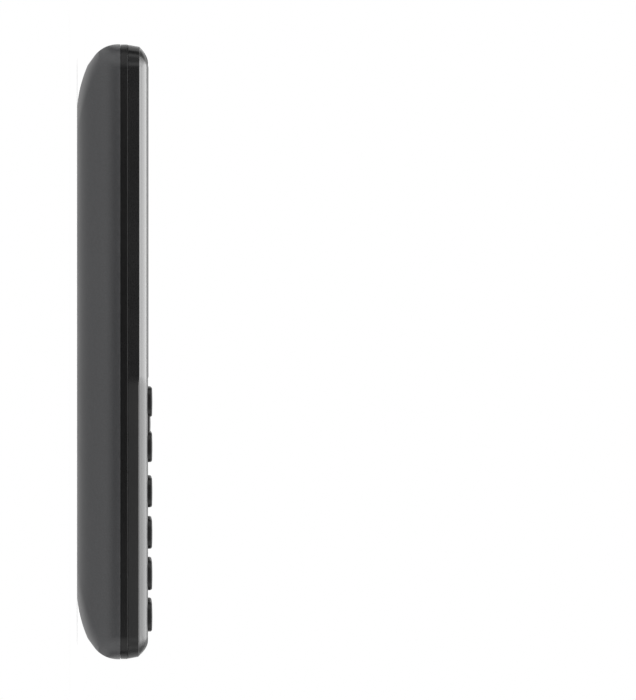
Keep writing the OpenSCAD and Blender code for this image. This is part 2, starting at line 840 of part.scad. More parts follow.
module usb_tongue() {
    tongue_w = 3.8;
    tongue_t = 0.6;
    tongue_in = 0.5;
    y0 = usb_front - half_l;
    color([0.1, 0.1, 0.1])
    block([-tongue_w / 2, y0 + tongue_in, usb_z - tongue_t / 2],
          [tongue_w / 2, y0 + usb_l - usb_back, usb_z + tongue_t / 2]);
}

module audio_jack() {
    y0 = jack_front - half_l;
    color([0.12, 0.12, 0.12])
    difference() {
        block([-jack_x - jack_w / 2, y0, jack_z - jack_r - jack_wall],
              [-jack_x + jack_w / 2, y0 + jack_l, z_board - seat]);
        bar_y(-jack_x, jack_z, jack_r, y0 - 1, y0 + jack_l - jack_end);
    }
}

module microphone() {
    color([0.8, 0.78, 0.6])
    block([-mic_x - mic_w / 2, mic_y, z_board - seat - mic_t],
          [mic_w / 2 - mic_x, mic_y + mic_l, z_board - seat]);
}

module mic_boot() {
    boot_hole = 0.4;
    color([0.15, 0.15, 0.15])
    difference() {
        block([-mic_x - boot_w / 2, boot_y0, z_tray + seat], [boot_w / 2 - mic_x, mic_y, z_board - seat]);
        bar_y(-mic_x, mic_z, boot_hole, boot_y0 - 1, mic_y + 1);
    }
}

// Turned part on the torch axis; its outline is drawn as radius against depth behind the end face
module torch_turned() {
    translate([torch_x, half_l, torch_z]) rotate([90, 0, 0]) rotate_extrude() children();
}

module torch_bezel() {
    inner = torch_r - lens_ring;
    cup_in = 0.45;
    neck = 0.5;
    led_clear = 0.15;
    color([0.16, 0.16, 0.17])
    torch_turned()
        polygon([[torch_r, torch_face], [torch_r, torch_depth], [led_r + led_clear, torch_depth],
                 [led_r + led_clear, torch_depth - neck], [inner - cup_in, torch_cup],
                 [inner, torch_cup], [inner, torch_face]]);
}

module torch_lens() {
    lens_in = 0.35;
    color([0.9, 0.9, 0.85, 0.4])
    torch_turned()
        translate([0, lens_in]) square([torch_r - lens_ring - seat, torch_cup - lens_in - seat]);
}

module torch_led() {
    flange = 0.35;
    flange_l = 1;
    led_spare = 0.6;
    color([0.85, 0.8, 0.3])
    torch_turned()
        difference() {
            union() {
                translate([0, led_tip + led_r]) circle(led_r);
                translate([0, led_tip + led_r])
                    square([led_r, led_l + torch_depth - led_tip - led_r - led_spare]);
                translate([0, torch_depth + seat]) square([led_r + flange, flange_l]);
            }
            translate([-2 * led_r, 0]) square([2 * led_r, torch_depth + 2 * led_l]);
        }
}

// Pack with rounded long edges
module battery() {
    z0 = cover_wall + battery_gap;
    color([0.45, 0.47, 0.5])
    translate([0, battery_y + battery_l / 2, z0 + battery_t / 2]) rotate([90, 0, 0])
        linear_extrude(battery_l) rounded(battery_w, battery_t, battery_r);
}

module battery_contacts() {
    pitch = 2.8;
    spring_r = 0.5;
    spring_w = 1;
    spring_drop = 1.6;
    color([0.85, 0.7, 0.3])
    union() {
        block([-contact_w / 2, contact_y + card_gap, z_floor - contact_h],
              [contact_w / 2, contact_y + contact_d, z_board - seat]);
        for (i = [-1:1])
            translate([i * pitch - spring_w / 2, contact_y + 0.8 * spring_r, z_floor - spring_drop])
                rotate([0, 90, 0]) cylinder(r = spring_r, h = spring_w);
    }
}

// Metal card cage with its mouth toward the bottom end
module card_cage(w, l, mouth) {
    back = 1.2;
    z0 = z_floor + card_roof;
    difference() {
        slab(w, l, card_lid, z0, z_board - seat);
        block([card_edge - w / 2, -l, z0 + card_lid],
              [w / 2 - card_edge, l / 2 - back, z0 + card_lid + mouth]);
    }
}

module sim_sockets() {
    mouth = 0.9;
    color([0.78, 0.78, 0.8])
    for (s = [-1, 1])
        translate([s * sim_x, sim_y, 0]) card_cage(sim_w, sim_l, mouth);
}

module memory_card_socket() {
    mouth = 0.8;
    color([0.72, 0.72, 0.74])
    translate([0, card_y, 0]) card_cage(card_w, card_l, mouth);
}

module antenna() {
    side = 7;
    end = 4.6;
    width = 20;
    length = 5.9;
    thick = 1.4;
    hole = [9, 1.5];
    hole_size = [4, 3];
    z1 = z_floor - seat;
    color([0.7, 0.55, 0.3])
    translate([side - half_w, half_l - end - length, 0])
        difference() {
            block([0, 0, z1 - thick], [width, length, z1]);
            translate([hole[0], hole[1], z1 - 2 * thick]) cube([hole_size[0], hole_size[1], 3 * thick]);
        }
}

module loudspeaker() {
    dish = 0.6;
    z0 = cover_wall + speaker_lift;
    color([0.15, 0.15, 0.16])
    translate([0, speaker_y, 0])
        difference() {
            slab(speaker_w, speaker_l, 2, z0, z_floor - seat);
            slab(speaker_w - 2 * speaker_rim_x, speaker_l - 2 * speaker_rim_y, 2, z0 - 1, z0 + dish);
        }
}

module vibration_motor() {
    shaft_l = weight_l + 0.4;
    color([0.7, 0.7, 0.72])
    union() {
        bar_y(motor_x, motor_z, motor_r, motor_y0, motor_y0 + motor_l);
        bar_y(motor_x, motor_z, shaft_r, motor_y0 + motor_l - eps, motor_y0 + motor_l + shaft_l);
    }
}

// Half-round weight on the motor's shaft
module vibration_weight() {
    hub_r = 0.9;
    y0 = motor_y0 + motor_l + weight_gap;
    color([0.6, 0.6, 0.62])
    difference() {
        union() {
            intersection() {
                bar_y(motor_x, motor_z, weight_r, y0, y0 + weight_l);
                block([motor_x - weight_r, y0 - 1, motor_z - weight_r],
                      [motor_x + weight_r, y0 + weight_l + 1, motor_z]);
            }
            bar_y(motor_x, motor_z, hub_r, y0, y0 + weight_l);
        }
        bar_y(motor_x, motor_z, shaft_r + seat, y0 - 1, y0 + weight_l + 1);
    }
}

module camera_module() {
    barrel_wall = 0.5;
    barrel_z = cover_wall + speaker_lift;
    pupil_r = 0.8;
    cone_d = 1.2;
    color([0.1, 0.1, 0.1])
    translate([0, camera_y, 0])
        difference() {
            union() {
                slab(camera_w, camera_w, 0.6, z_floor - camera_h, z_board - seat);
                translate([0, 0, barrel_z])
                    cylinder(r = camera_r + barrel_wall, h = z_floor - camera_h + eps - barrel_z);
            }
            translate([0, 0, barrel_z - 1])
                cylinder(r1 = camera_r + 0.2, r2 = pupil_r, h = 1 + cone_d);
        }
}

module housing_screws() {
    head_h = 0.7;
    head_in = 0.1;
    cross = [1.5, 0.3, 0.7];
    color([0.55, 0.55, 0.57])
    for (p = screw_places)
        translate([p[0], p[1], z_floor + head_in])
            difference() {
                union() {
                    cylinder(r = screw_head_r, h = head_h);
                    cylinder(r = screw_r, h = screw_l);
                }
                for (a = [0, 90]) rotate(a) cube(cross, center = true);
            }
}

back_cover();
camera_window();
speaker_mesh();
mid_frame();
front_housing();
display_lens();
lens_tape();
lcd_panel();
lcd_frame();
lcd_flex();
earpiece();
earpiece_mesh();
main_board();
shield_cans();
dome_sheet();
keypad_mat();
nav_rocker();
nav_ring();
nav_ok();
usb_shell();
usb_tongue();
audio_jack();
microphone();
mic_boot();
torch_bezel();
torch_lens();
torch_led();
battery();
battery_contacts();
sim_sockets();
memory_card_socket();
antenna();
loudspeaker();
vibration_motor();
vibration_weight();
camera_module();
housing_screws();
for (k = keys)
    color([0.2, 0.2, 0.21]) phone_key(k);
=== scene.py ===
# %% [markdown]
# # Dressing a candy-bar phone
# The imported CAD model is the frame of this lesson: every piece below takes its place from it and rides
# on one of its bodies. The moulded shells, the keys and the torch are modelled again with finer curves,
# the pieces inside keep their CAD meshes, and all of them get procedural finishes.

# %% Load the frame
import json
import math

import bmesh
import bpy
from mathutils import Matrix, Vector


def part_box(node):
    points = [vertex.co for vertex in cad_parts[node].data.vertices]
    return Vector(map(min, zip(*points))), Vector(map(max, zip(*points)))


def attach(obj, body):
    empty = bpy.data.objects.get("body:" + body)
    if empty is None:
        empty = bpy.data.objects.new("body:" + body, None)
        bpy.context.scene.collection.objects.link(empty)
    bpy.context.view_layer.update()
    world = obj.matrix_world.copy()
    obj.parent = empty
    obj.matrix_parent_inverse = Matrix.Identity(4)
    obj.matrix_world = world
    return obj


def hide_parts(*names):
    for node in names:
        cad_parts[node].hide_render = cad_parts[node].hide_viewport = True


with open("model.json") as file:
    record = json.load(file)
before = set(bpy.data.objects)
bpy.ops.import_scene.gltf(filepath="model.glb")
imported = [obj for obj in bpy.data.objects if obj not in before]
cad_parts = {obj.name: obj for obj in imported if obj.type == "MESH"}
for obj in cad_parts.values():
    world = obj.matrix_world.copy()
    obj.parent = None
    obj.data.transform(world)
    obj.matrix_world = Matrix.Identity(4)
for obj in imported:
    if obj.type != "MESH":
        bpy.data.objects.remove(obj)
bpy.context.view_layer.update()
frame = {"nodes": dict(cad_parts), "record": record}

NODES = frame["nodes"]
RECORD = frame["record"]
BODY_OF = {node: body for body, members in RECORD["behaviour"]["bodies"].items() for node in members}
SLOT_OF = {part["node"]: part["material_slot"] for part in RECORD["subparts"]}

# %% [markdown]
# ## Sizes
# Pieces are modelled in millimetres, because a phone's walls and gaps are tenths of a millimetre, and
# turned into metres at the end. Places come from the boxes of the CAD nodes, so nothing is measured twice.

# %% Sizes from the frame
MM = 0.001


def box_mm(node):
    low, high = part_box(node)
    return low / MM, high / MM


def middle_mm(node):
    """The centre of a node's box."""
    return [(low + high) / 2 for low, high in zip(*box_mm(node))]


def half_mm(node):
    """Half the size of a node's box along X, Y and Z."""
    return [(high - low) / 2 for low, high in zip(*box_mm(node))]


cover_low, cover_high = box_mm("back_cover")
front_low, front_high = box_mm("front_housing")
half_w, half_l = cover_high.x, -cover_low.y
seam_z, split_z, front_z = cover_high.z, front_low.z, front_high.z
corner_r = 4.6
crown_h, crown_in = 1.55, 3.05
shoulder_z = front_z - crown_h
print(f"body {2 * half_w:.1f} x {2 * half_l:.1f} x {front_z:.2f} mm, seams at {seam_z:.2f} and {split_z:.2f}")

# %% [markdown]
# ## Shared finishes as node groups
# A moulded phone is never one flat colour. The mould leaves a fine spark-eroded grain, hands leave soft
# shiny patches, edges rub pale, and dust settles on what faces up. Each of these is one node group with
# named inputs, so every plastic, metal and film below can use the same effect with its own values.

# %% Helpers for node trees


def wire(tree, source, target):
    """Links a socket to another, or sets it to a plain value."""
    if isinstance(source, bpy.types.NodeSocket):
        tree.links.new(source, target)
    else:
        target.default_value = source


def add_node(tree, kind, sockets=None, **options):
    """Adds a node, sets its options, and links or sets its input sockets."""
    node = tree.nodes.new(kind)
    for name, value in options.items():
        setattr(node, name, value)
    for name, source in (sockets or {}).items():
        wire(tree, source, node.inputs[name])
    return node


def maths(tree, operation, a, b=None, clamp=False):
    sockets = {0: a} if b is None else {0: a, 1: b}
    return add_node(tree, "ShaderNodeMath", sockets, operation=operation, use_clamp=clamp).outputs[0]


def times(tree, a, b, clamp=False):
    return maths(tree, "MULTIPLY", a, b, clamp)


def remap(tree, value, low, high, to_low=0.0, to_high=1.0):
    sockets = {"Value": value, "From Min": low, "From Max": high, "To Min": to_low, "To Max": to_high}
    return add_node(tree, "ShaderNodeMapRange", sockets).outputs["Result"]


def noise(tree, vector, scale, detail=2.0, roughness=0.5):
    sockets = {"Vector": vector, "Scale": scale, "Detail": detail, "Roughness": roughness}
    return add_node(tree, "ShaderNodeTexNoise", sockets).outputs["Fac"]


def stretched(tree, vector, scale, shift=(0.0, 0.0, 0.0)):
    sockets = {"Vector": vector, "Scale": scale, "Location": shift}
    return add_node(tree, "ShaderNodeMapping", sockets).outputs[0]


def axes_of(tree, vector):
    """The X, Y and Z of a vector, each as a socket."""
    return add_node(tree, "ShaderNodeSeparateXYZ", {0: vector}).outputs


def length_of(tree, vector):
    return add_node(tree, "ShaderNodeVectorMath", {0: vector}, operation="LENGTH").outputs["Value"]


def new_group(name, inputs, outputs):
    """A node group that takes a vector and some numbers, and gives numbers."""
    tree = bpy.data.node_groups.new(name, "ShaderNodeTree")
    tree.interface.new_socket(name="Vector", in_out="INPUT", socket_type="NodeSocketVector")
    for way, titles in (("INPUT", inputs), ("OUTPUT", outputs)):
        for title in titles:
            tree.interface.new_socket(name=title, in_out=way, socket_type="NodeSocketFloat")
    return tree, tree.nodes.new("NodeGroupInput").outputs, tree.nodes.new("NodeGroupOutput").inputs


# %% Moulded grain: the texture of a spark-eroded mould
GRAIN, given, put = new_group("Moulded grain", ["Fineness"], ["Height", "Speckle"])
scaled = add_node(GRAIN, "ShaderNodeVectorMath", {0: given["Vector"], "Scale": given["Fineness"]}, operation="SCALE")
pits = noise(GRAIN, scaled.outputs[0], 1.0, 3.0, 0.6)
lumps = noise(GRAIN, scaled.outputs[0], 0.31, 1.0)
wire(GRAIN, maths(GRAIN, "ADD", times(GRAIN, pits, 0.7), times(GRAIN, lumps, 0.3)), put["Height"])
wire(GRAIN, remap(GRAIN, pits, 0.35, 0.7), put["Speckle"])

# %% Handling marks: soft patches where hands and pockets have polished the surface
HANDLING, given, put = new_group("Handling marks", [], ["Patches", "Smears"])
patches = noise(HANDLING, given["Vector"], 70.0, 3.0, 0.55)
smears = noise(HANDLING, stretched(HANDLING, given["Vector"], (420.0, 90.0, 420.0)), 1.0, 4.0, 0.6)
wire(HANDLING, remap(HANDLING, patches, 0.35, 0.7), put["Patches"])
wire(HANDLING, remap(HANDLING, smears, 0.5, 0.8), put["Smears"])

# %% Edge wear: pale rubbed edges, from the rim attribute that each modelled piece carries
WEAR, given, put = new_group("Edge wear", ["Amount"], ["Mask"])
rim = add_node(WEAR, "ShaderNodeAttribute", attribute_name="rim")
broken = remap(WEAR, noise(WEAR, given["Vector"], 900.0, 4.0, 0.7), 0.4, 0.65)
worn = times(WEAR, rim.outputs["Fac"], broken)
wire(WEAR, times(WEAR, worn, given["Amount"], clamp=True), put["Mask"])

# %% Settled dust: a thin film on what faces up
DUST, given, put = new_group("Settled dust", ["Amount"], ["Mask"])
facing = axes_of(DUST, add_node(DUST, "ShaderNodeNewGeometry").outputs["Normal"])
upward = remap(DUST, facing["Z"], 0.6, 1.0)
specks = remap(DUST, noise(DUST, given["Vector"], 2600.0, 2.0, 0.7), 0.6, 0.72)
film = remap(DUST, noise(DUST, given["Vector"], 120.0, 3.0), 0.4, 0.8, 0.0, 0.35)
settled = times(DUST, upward, maths(DUST, "ADD", specks, film))
wire(DUST, times(DUST, settled, given["Amount"], clamp=True), put["Mask"])

# %% Drawn metal: fine lines along one axis, as on rolled sheet
DRAWN, given, put = new_group("Drawn metal", [], ["Lines", "Stain"])
rolled = stretched(DRAWN, given["Vector"], (9000.0, 260.0, 9000.0))
wire(DRAWN, noise(DRAWN, rolled, 1.0, 2.0), put["Lines"])
wire(DRAWN, noise(DRAWN, given["Vector"], 160.0, 4.0, 0.6), put["Stain"])
print("node groups:", ", ".join(group.name for group in bpy.data.node_groups))

# %% [markdown]
# ## Finishes
# Each slot of the record becomes one material. A plastic starts from a pair of close colours that the
# grain mixes, its roughness wanders with the handling marks, and its edges and dust come from the groups.
# Numbers that are the same all over sit on the shader itself.

# %% Material helpers
FINISH = {}


def new_finish(slot, **constants):
    material = bpy.data.materials.new(slot)
    material.use_nodes = True
    tree = material.node_tree
    shader = tree.nodes["Principled BSDF"]
    for name, value in constants.items():
        shader.inputs[name.replace("_", " ")].default_value = value
    FINISH[slot] = material
    coordinates = add_node(tree, "ShaderNodeTexCoord")
    return tree, shader, coordinates.outputs["Object"]


def place(tree, group, vector, **values):
    return add_node(tree, "ShaderNodeGroup", {"Vector": vector, **values}, node_tree=group).outputs


def grey(value, tint=(1.0, 1.0, 1.0)):
    return (value * tint[0], value * tint[1], value * tint[2], 1.0)


def mix(tree, factor, first, second):
    """Mixes two colours; the sockets of that kind have the numbers 6 and 7, and the result 2."""
    return add_node(tree, "ShaderNodeMix", {"Factor": factor, 6: first, 7: second}, data_type="RGBA").outputs[2]


def bump(tree, shader, height, depth_mm):
    node = add_node(tree, "ShaderNodeBump", {"Distance": depth_mm * MM, "Height": height})
    wire(tree, node.outputs["Normal"], shader.inputs["Normal"])


WORN_GAIN, WORN_LIFT = 2.6, 0.05
GRAIN_GLOSS, PATCH_GLOSS, DUST_GLOSS = 0.05, 0.05, 0.4
STAIN_TONE, STAIN_GLOSS, LINE_DEPTH = 0.82, 0.14, 0.004
DUST_COLOUR = grey(0.42, (1.0, 0.98, 0.94))


def moulded(slot, tone, tint, rough, fineness=4200.0, depth_mm=0.012, wear=0.5, dust=0.12, gain=1.25,
            **constants):
    """A moulded plastic: grain in colour and bump, handling marks in the gloss, pale edges and dust."""
    tree, shader, vector = new_finish(slot, **constants)
    grain = place(tree, GRAIN, vector, Fineness=fineness)
    marks = place(tree, HANDLING, vector)
    worn = place(tree, WEAR, vector, Amount=wear)
    settled = place(tree, DUST, vector, Amount=dust)
    colour = mix(tree, grain["Speckle"], grey(tone, tint), grey(tone * gain, tint))
    colour = mix(tree, worn["Mask"], colour, grey(min(1.0, WORN_GAIN * tone + WORN_LIFT)))
    wire(tree, mix(tree, settled["Mask"], colour, DUST_COLOUR), shader.inputs["Base Color"])
    gloss = maths(tree, "SUBTRACT", remap(tree, grain["Speckle"], 0.0, 1.0, rough, rough + GRAIN_GLOSS),
                  times(tree, marks["Patches"], PATCH_GLOSS))
    wire(tree, maths(tree, "ADD", gloss, times(tree, settled["Mask"], DUST_GLOSS), clamp=True),
         shader.inputs["Roughness"])
    bump(tree, shader, grain["Height"], depth_mm)
    return tree, shader, vector


def sheet_metal(slot, tone, tint, rough):
    """Rolled or plated metal: drawn lines in the bump, stains in the colour and the gloss."""
    tree, shader, vector = new_finish(slot, Metallic=1.0)
    drawn = place(tree, DRAWN, vector)
    stained, clean = grey(tone * STAIN_TONE, tint), grey(tone, tint)
    wire(tree, mix(tree, drawn["Stain"], stained, clean), shader.inputs["Base Color"])
    wire(tree, remap(tree, drawn["Stain"], 0.3, 0.7, rough, rough + STAIN_GLOSS), shader.inputs["Roughness"])
    bump(tree, shader, drawn["Lines"], LINE_DEPTH)


# %% Plastics
COOL, NEUTRAL = (0.97, 0.98, 1.03), (1.0, 1.0, 1.01)
moulded("cover_plastic", 0.052, COOL, 0.32, wear=0.15)
moulded("frame_plastic", 0.004, NEUTRAL, 0.30, wear=0.03, dust=0.03, Specular_IOR_Level=0.35)
moulded("black_plastic", 0.016, NEUTRAL, 0.45, wear=0.3)
moulded("key_plastic", 0.014, NEUTRAL, 0.30, fineness=6000.0, depth_mm=0.005, wear=0.25, dust=0.05)
moulded("nav_plastic", 0.028, NEUTRAL, 0.26, fineness=6000.0, depth_mm=0.004, wear=0.3, dust=0.05)
# the torch ring's high edge wear is partly real wear and partly painted highlight: its pale ring edges also stand
# for the thin lines of light those edges catch
moulded("torch_rim", 0.018, NEUTRAL, 0.28, fineness=6000.0, depth_mm=0.001, wear=0.5, dust=0.0)
moulded("battery_wrap", 0.17, (0.95, 1.0, 1.05), 0.48, fineness=900.0, depth_mm=0.008, wear=0.2, dust=0.1)
moulded("silicone", 0.22, COOL, 0.55, fineness=2500.0, depth_mm=0.008, wear=0.0)
moulded("tape", 0.014, NEUTRAL, 0.6, fineness=2200.0, depth_mm=0.01, wear=0.0, dust=0.0)
moulded("board", 0.035, (0.28, 1.5, 0.7), 0.3, fineness=1500.0, depth_mm=0.006, wear=0.0, gain=1.5)
moulded("dome_film", 0.5, (1.0, 0.99, 0.93), 0.3, fineness=2000.0, depth_mm=0.004, wear=0.0)
moulded("flex", 0.2, (1.9, 1.0, 0.25), 0.25, fineness=1500.0, depth_mm=0.004, wear=0.0)
INK = dict(fineness=7000.0, depth_mm=0.003, wear=0.0, dust=0.0)
moulded("key_print", 0.62, (1.0, 1.0, 1.02), 0.5, **INK)

# %% [markdown]
# The front shell comes from one mould with two textures. The crown of its display half is polished, that of
# its keypad half is more satin, and the side below the shoulder is satin all round. So a coat of higher index
# is masked by height, by slope, and by how square the surface looks to a side, which spares the corners.

# %% Front shell: satin black with a polished crown
crown_ior = 1.85
polish_from, polish_full = 0.12, 0.04
step_y, step_run = -5.6, 2.0
steep_z, crown_z = 0.45, 0.6
lying_z, flat_z = 0.985, 0.998
square_to, askew_from, corner_gloss = 0.2, 0.45, 0.15
keypad_gloss, keypad_satin = 0.72, 0.14
over_one = 1.0001  # keeps the divisor above nought
tree, shader, vector = moulded("front_plastic", 0.012, NEUTRAL, 0.20, fineness=5200.0, depth_mm=0.0012,
                               wear=0.2, dust=0.04, Coat_Roughness=0.12, Coat_IOR=crown_ior)
level = axes_of(tree, vector)
above = remap(tree, level["Z"], (shoulder_z - polish_from) * MM, (shoulder_z - polish_full) * MM)
keypad = remap(tree, level["Y"], (step_y - step_run / 2) * MM, (step_y + step_run / 2) * MM, 1.0, 0.0)
tilt = axes_of(tree, add_node(tree, "ShaderNodeTexCoord").outputs["Normal"])
sloped = times(tree, remap(tree, tilt["Z"], steep_z, crown_z),
               remap(tree, tilt["Z"], lying_z, flat_z, 1.0, 0.0))
level_part = maths(tree, "SQRT", maths(tree, "SUBTRACT", over_one, maths(tree, "POWER", tilt["Z"], 2.0)))
lesser = maths(tree, "MINIMUM", maths(tree, "ABSOLUTE", tilt["X"]), maths(tree, "ABSOLUTE", tilt["Y"]))
straight = remap(tree, maths(tree, "DIVIDE", lesser, level_part), square_to, askew_from, 1.0, corner_gloss)
by_half = times(tree, straight, remap(tree, keypad, 0.0, 1.0, 1.0, keypad_gloss))
wire(tree, times(tree, times(tree, above, sloped), by_half), shader.inputs["Coat Weight"])
satin = shader.inputs["Roughness"].links[0].from_socket
wire(tree, maths(tree, "ADD", satin, times(tree, keypad, keypad_satin)), shader.inputs["Roughness"])

# %% Metals
sheet_metal("lcd_metal", 0.62, (1.0, 1.0, 1.02), 0.28)
sheet_metal("plated_steel", 0.66, (1.0, 0.99, 0.97), 0.22)
sheet_metal("gold_contact", 0.62, (1.3, 0.95, 0.42), 0.24)
# painted shade: this dark steel stands for the shade inside the charging socket
sheet_metal("painted_shade_socket_steel", 0.16, (1.0, 0.99, 0.97), 0.30)

# %% Fine mesh: a woven pattern of round holes in a dark sheet
tree, shader, vector = new_finish("mesh", Metallic=1.0)
cells = add_node(tree, "ShaderNodeTexVoronoi", {"Vector": vector, "Scale": 2800.0})
holes = remap(tree, cells.outputs["Distance"], 0.25, 0.4)
wire(tree, mix(tree, holes, grey(0.004), grey(0.09)), shader.inputs["Base Color"])
wire(tree, remap(tree, holes, 0.0, 1.0, 0.9, 0.35), shader.inputs["Roughness"])
bump(tree, shader, holes, 0.05)

# %% Display window: gloss black acrylic over a switched-off display
# The visible area is a shade bluer than the printed border, with a soft line between the two.
panel_low, panel_high = box_mm("lcd_panel")
view_inset = 0.9


def window_mask(tree, vector, low, high, soft_mm=0.12):
    """1 inside a rectangle of the front, from the distance to its four sides."""
    axes = axes_of(tree, vector)
    sides = []
    for axis, start, end in (("X", low.x, high.x), ("Y", low.y, high.y)):
        centre, reach = (start + end) / 2 * MM, (end - start) / 2 * MM
        away = maths(tree, "ABSOLUTE", maths(tree, "SUBTRACT", axes[axis], centre))
        sides.append(remap(tree, away, reach - soft_mm * MM, reach, 1.0, 0.0))
    return times(tree, *sides)


def display_glass(slot, border, screen):
    tree, shader, vector = new_finish(slot, IOR=1.49, Coat_Weight=0.6, Coat_Roughness=0.02)
    inset = Vector((view_inset, view_inset, 0.0))
    shown = window_mask(tree, vector, panel_low + inset, panel_high - inset)
    marks = place(tree, HANDLING, vector)
    settled = place(tree, DUST, vector, Amount=0.05)
    glass = mix(tree, shown, border, screen)
    wire(tree, mix(tree, settled["Mask"], glass, grey(0.4)), shader.inputs["Base Color"])
    wire(tree, remap(tree, marks["Smears"], 0.0, 1.0, 0.035, 0.12), shader.inputs["Roughness"])


display_glass("lens_acrylic", grey(0.004), (0.010, 0.012, 0.016, 1.0))
display_glass("lcd_glass", grey(0.010), (0.012, 0.013, 0.017, 1.0))
display_glass("camera_glass", grey(0.004), grey(0.006))

# %% Torch: clear window and a yellow phosphor under epoxy
tree, shader, vector = new_finish("clear_lens", IOR=1.5, Transmission_Weight=1.0, Metallic=0.0)
marks = place(tree, HANDLING, vector)
wire(tree, remap(tree, marks["Smears"], 0.0, 1.0, 0.02, 0.08), shader.inputs["Roughness"])
wire(tree, mix(tree, marks["Patches"], grey(0.96, (1.0, 1.0, 0.97)), grey(0.99)), shader.inputs["Base Color"])

torch_x, _, torch_z = middle_mm("torch_bezel")
torch_r = half_mm("torch_bezel")[0]
core_r, halo_r = 0.2, 0.6
tree, shader, vector = new_finish("led_epoxy", Coat_Weight=0.3, Coat_Roughness=0.05)
centred = stretched(tree, vector, (1.0, 0.0, 1.0), (-torch_x * MM, 0.0, -torch_z * MM))
core = remap(tree, length_of(tree, centred), core_r * MM, halo_r * MM, 1.0, 0.0)
grain = place(tree, GRAIN, vector, Fineness=5000.0)
phosphor = mix(tree, grain["Speckle"], (0.50, 0.50, 0.07, 1.0), (0.60, 0.61, 0.11, 1.0))
wire(tree, mix(tree, core, phosphor, (0.80, 0.82, 0.42, 1.0)), shader.inputs["Base Color"])
wire(tree, remap(tree, grain["Speckle"], 0.0, 1.0, 0.25, 0.4), shader.inputs["Roughness"])
print(len(FINISH), "finishes:", ", ".join(sorted(FINISH)))

# %% [markdown]
# ## Modelling helpers
# A moulded shell is a stack of rounded outlines. One outline is a grid face with beveled corners, and each
# next level is an extrusion of its rim whose four corners are scaled and shifted as groups. The corner
# arcs keep their points, so the skin is clean quads from the first level to the last.

# %% Skins from rounded outlines


def verts_of(geom):
    return [item for item in geom if isinstance(item, bmesh.types.BMVert)]


def edges_of(geom):
    return [item for item in geom if isinstance(item, bmesh.types.BMEdge)]


def rounded_face(bm, level, segments):
    """The face of one level, which is given as (z, half_x, half_y, corner radius)."""
    z, half_x, half_y, radius = level
    verts = bmesh.ops.create_grid(bm, x_segments=1, y_segments=1, size=1.0)["verts"]
    bmesh.ops.scale(bm, vec=(half_x, half_y, 1.0), verts=verts)
    bmesh.ops.translate(bm, vec=(0.0, 0.0, z), verts=verts)
    bmesh.ops.bevel(bm, geom=verts, offset=radius, offset_type="OFFSET", affect="VERTICES", segments=segments,
                    profile=0.5, material=-1)


def next_level(bm, edges, old, new):
    """Extrudes a rim from one level to the next."""
    grown = bmesh.ops.extrude_edge_only(bm, edges=edges)["geom"]
    verts = verts_of(grown)
    grow = new[3] / old[3]
    for sx in (-1, 1):
        for sy in (-1, 1):
            corner = [v for v in verts if v.co.x * sx > 0 and v.co.y * sy > 0]
            was, now = [Vector((sx * (x - r), sy * (y - r), z)) for z, x, y, r in (old, new)]
            bmesh.ops.scale(bm, vec=(grow, grow, 1.0), space=Matrix.Translation(-was), verts=corner)
            bmesh.ops.translate(bm, vec=now - was, verts=corner)
    return edges_of(grown)


def skin(levels, segments=12, closed=True):
    """A closed solid through rounded outlines, from the first level to the last."""
    bm = bmesh.new()
    rounded_face(bm, levels[0], segments)
    edges = [e for e in bm.edges if e.is_boundary]
    for old, new in zip(levels, levels[1:]):
        edges = next_level(bm, edges, old, new)
    if closed:
        bmesh.ops.edgeloop_fill(bm, edges=edges)
    bmesh.ops.recalc_face_normals(bm, faces=bm.faces)
    return bm


def move(bm, x=0.0, y=0.0, z=0.0):
    bmesh.ops.translate(bm, vec=(x, y, z), verts=bm.verts)
    return bm


def slab(half_x, half_y, radius, z0, z1, x=0.0, y=0.0, segments=10):
    return move(skin([(z0, half_x, half_y, radius), (z1, half_x, half_y, radius)], segments), x, y)


# %% Planes and rounds


def sliced(bm, point, normal, clear=False):
    """Cuts every face along a plane, and drops what lies in front of it if asked; gives the new edges."""
    cut = bmesh.ops.bisect_plane(bm, geom=bm.verts[:] + bm.edges[:] + bm.faces[:], dist=1e-5, plane_co=point,
                                 plane_no=normal, clear_outer=clear)
    return edges_of(cut["geom_cut"])


def cut_rows(bm, places):
    for y in places:
        sliced(bm, (0, y, 0), (0, 1, 0))


def quarter_turn(steps):
    """Angles from nought to a right angle."""
    return [math.pi / 2 * k / steps for k in range(steps + 1)]


def arc_fall(radius, away):
    """How far an arc has fallen at a distance from its top."""
    return radius - math.sqrt(radius ** 2 - away ** 2)


# %% Turned pieces, cutters and joins


def turned_solid(profile, steps=64):
    """A closed profile of (radius, height) spun round Z; its end points lie on the axis."""
    bm = bmesh.new()
    points = [bm.verts.new((r, 0.0, h)) for r, h in profile]
    edges = [bm.edges.new(pair) for pair in zip(points, points[1:])]
    bmesh.ops.spin(bm, geom=points + edges, cent=(0, 0, 0), axis=(0, 0, 1), angle=math.tau, steps=steps,
                   use_merge=True)
    bmesh.ops.remove_doubles(bm, verts=bm.verts, dist=1e-5)
    bmesh.ops.recalc_face_normals(bm, faces=bm.faces)
    return bm


def toward_end(bm, x, y, z, end):
    """Turns a piece that was made along Z so that it looks out of the top end (1) or the bottom end (-1)."""
    bmesh.ops.rotate(bm, cent=(0, 0, 0), matrix=Matrix.Rotation(-end * math.pi / 2, 3, "X"), verts=bm.verts)
    return move(bm, x, y, z)


def mesh_of(bm, name):
    """A mesh from a bmesh, which is freed."""
    mesh = bpy.data.meshes.new(name)
    bm.to_mesh(mesh)
    bm.free()
    return mesh


def placed(name, data):
    made = bpy.data.objects.new(name, data)
    bpy.context.scene.collection.objects.link(made)
    return made


def joined(*parts):
    """One bmesh from several; the parts are freed."""
    whole = bmesh.new()
    for part in parts:
        mesh = mesh_of(part, "join")
        whole.from_mesh(mesh)
        bpy.data.meshes.remove(mesh)
    return whole


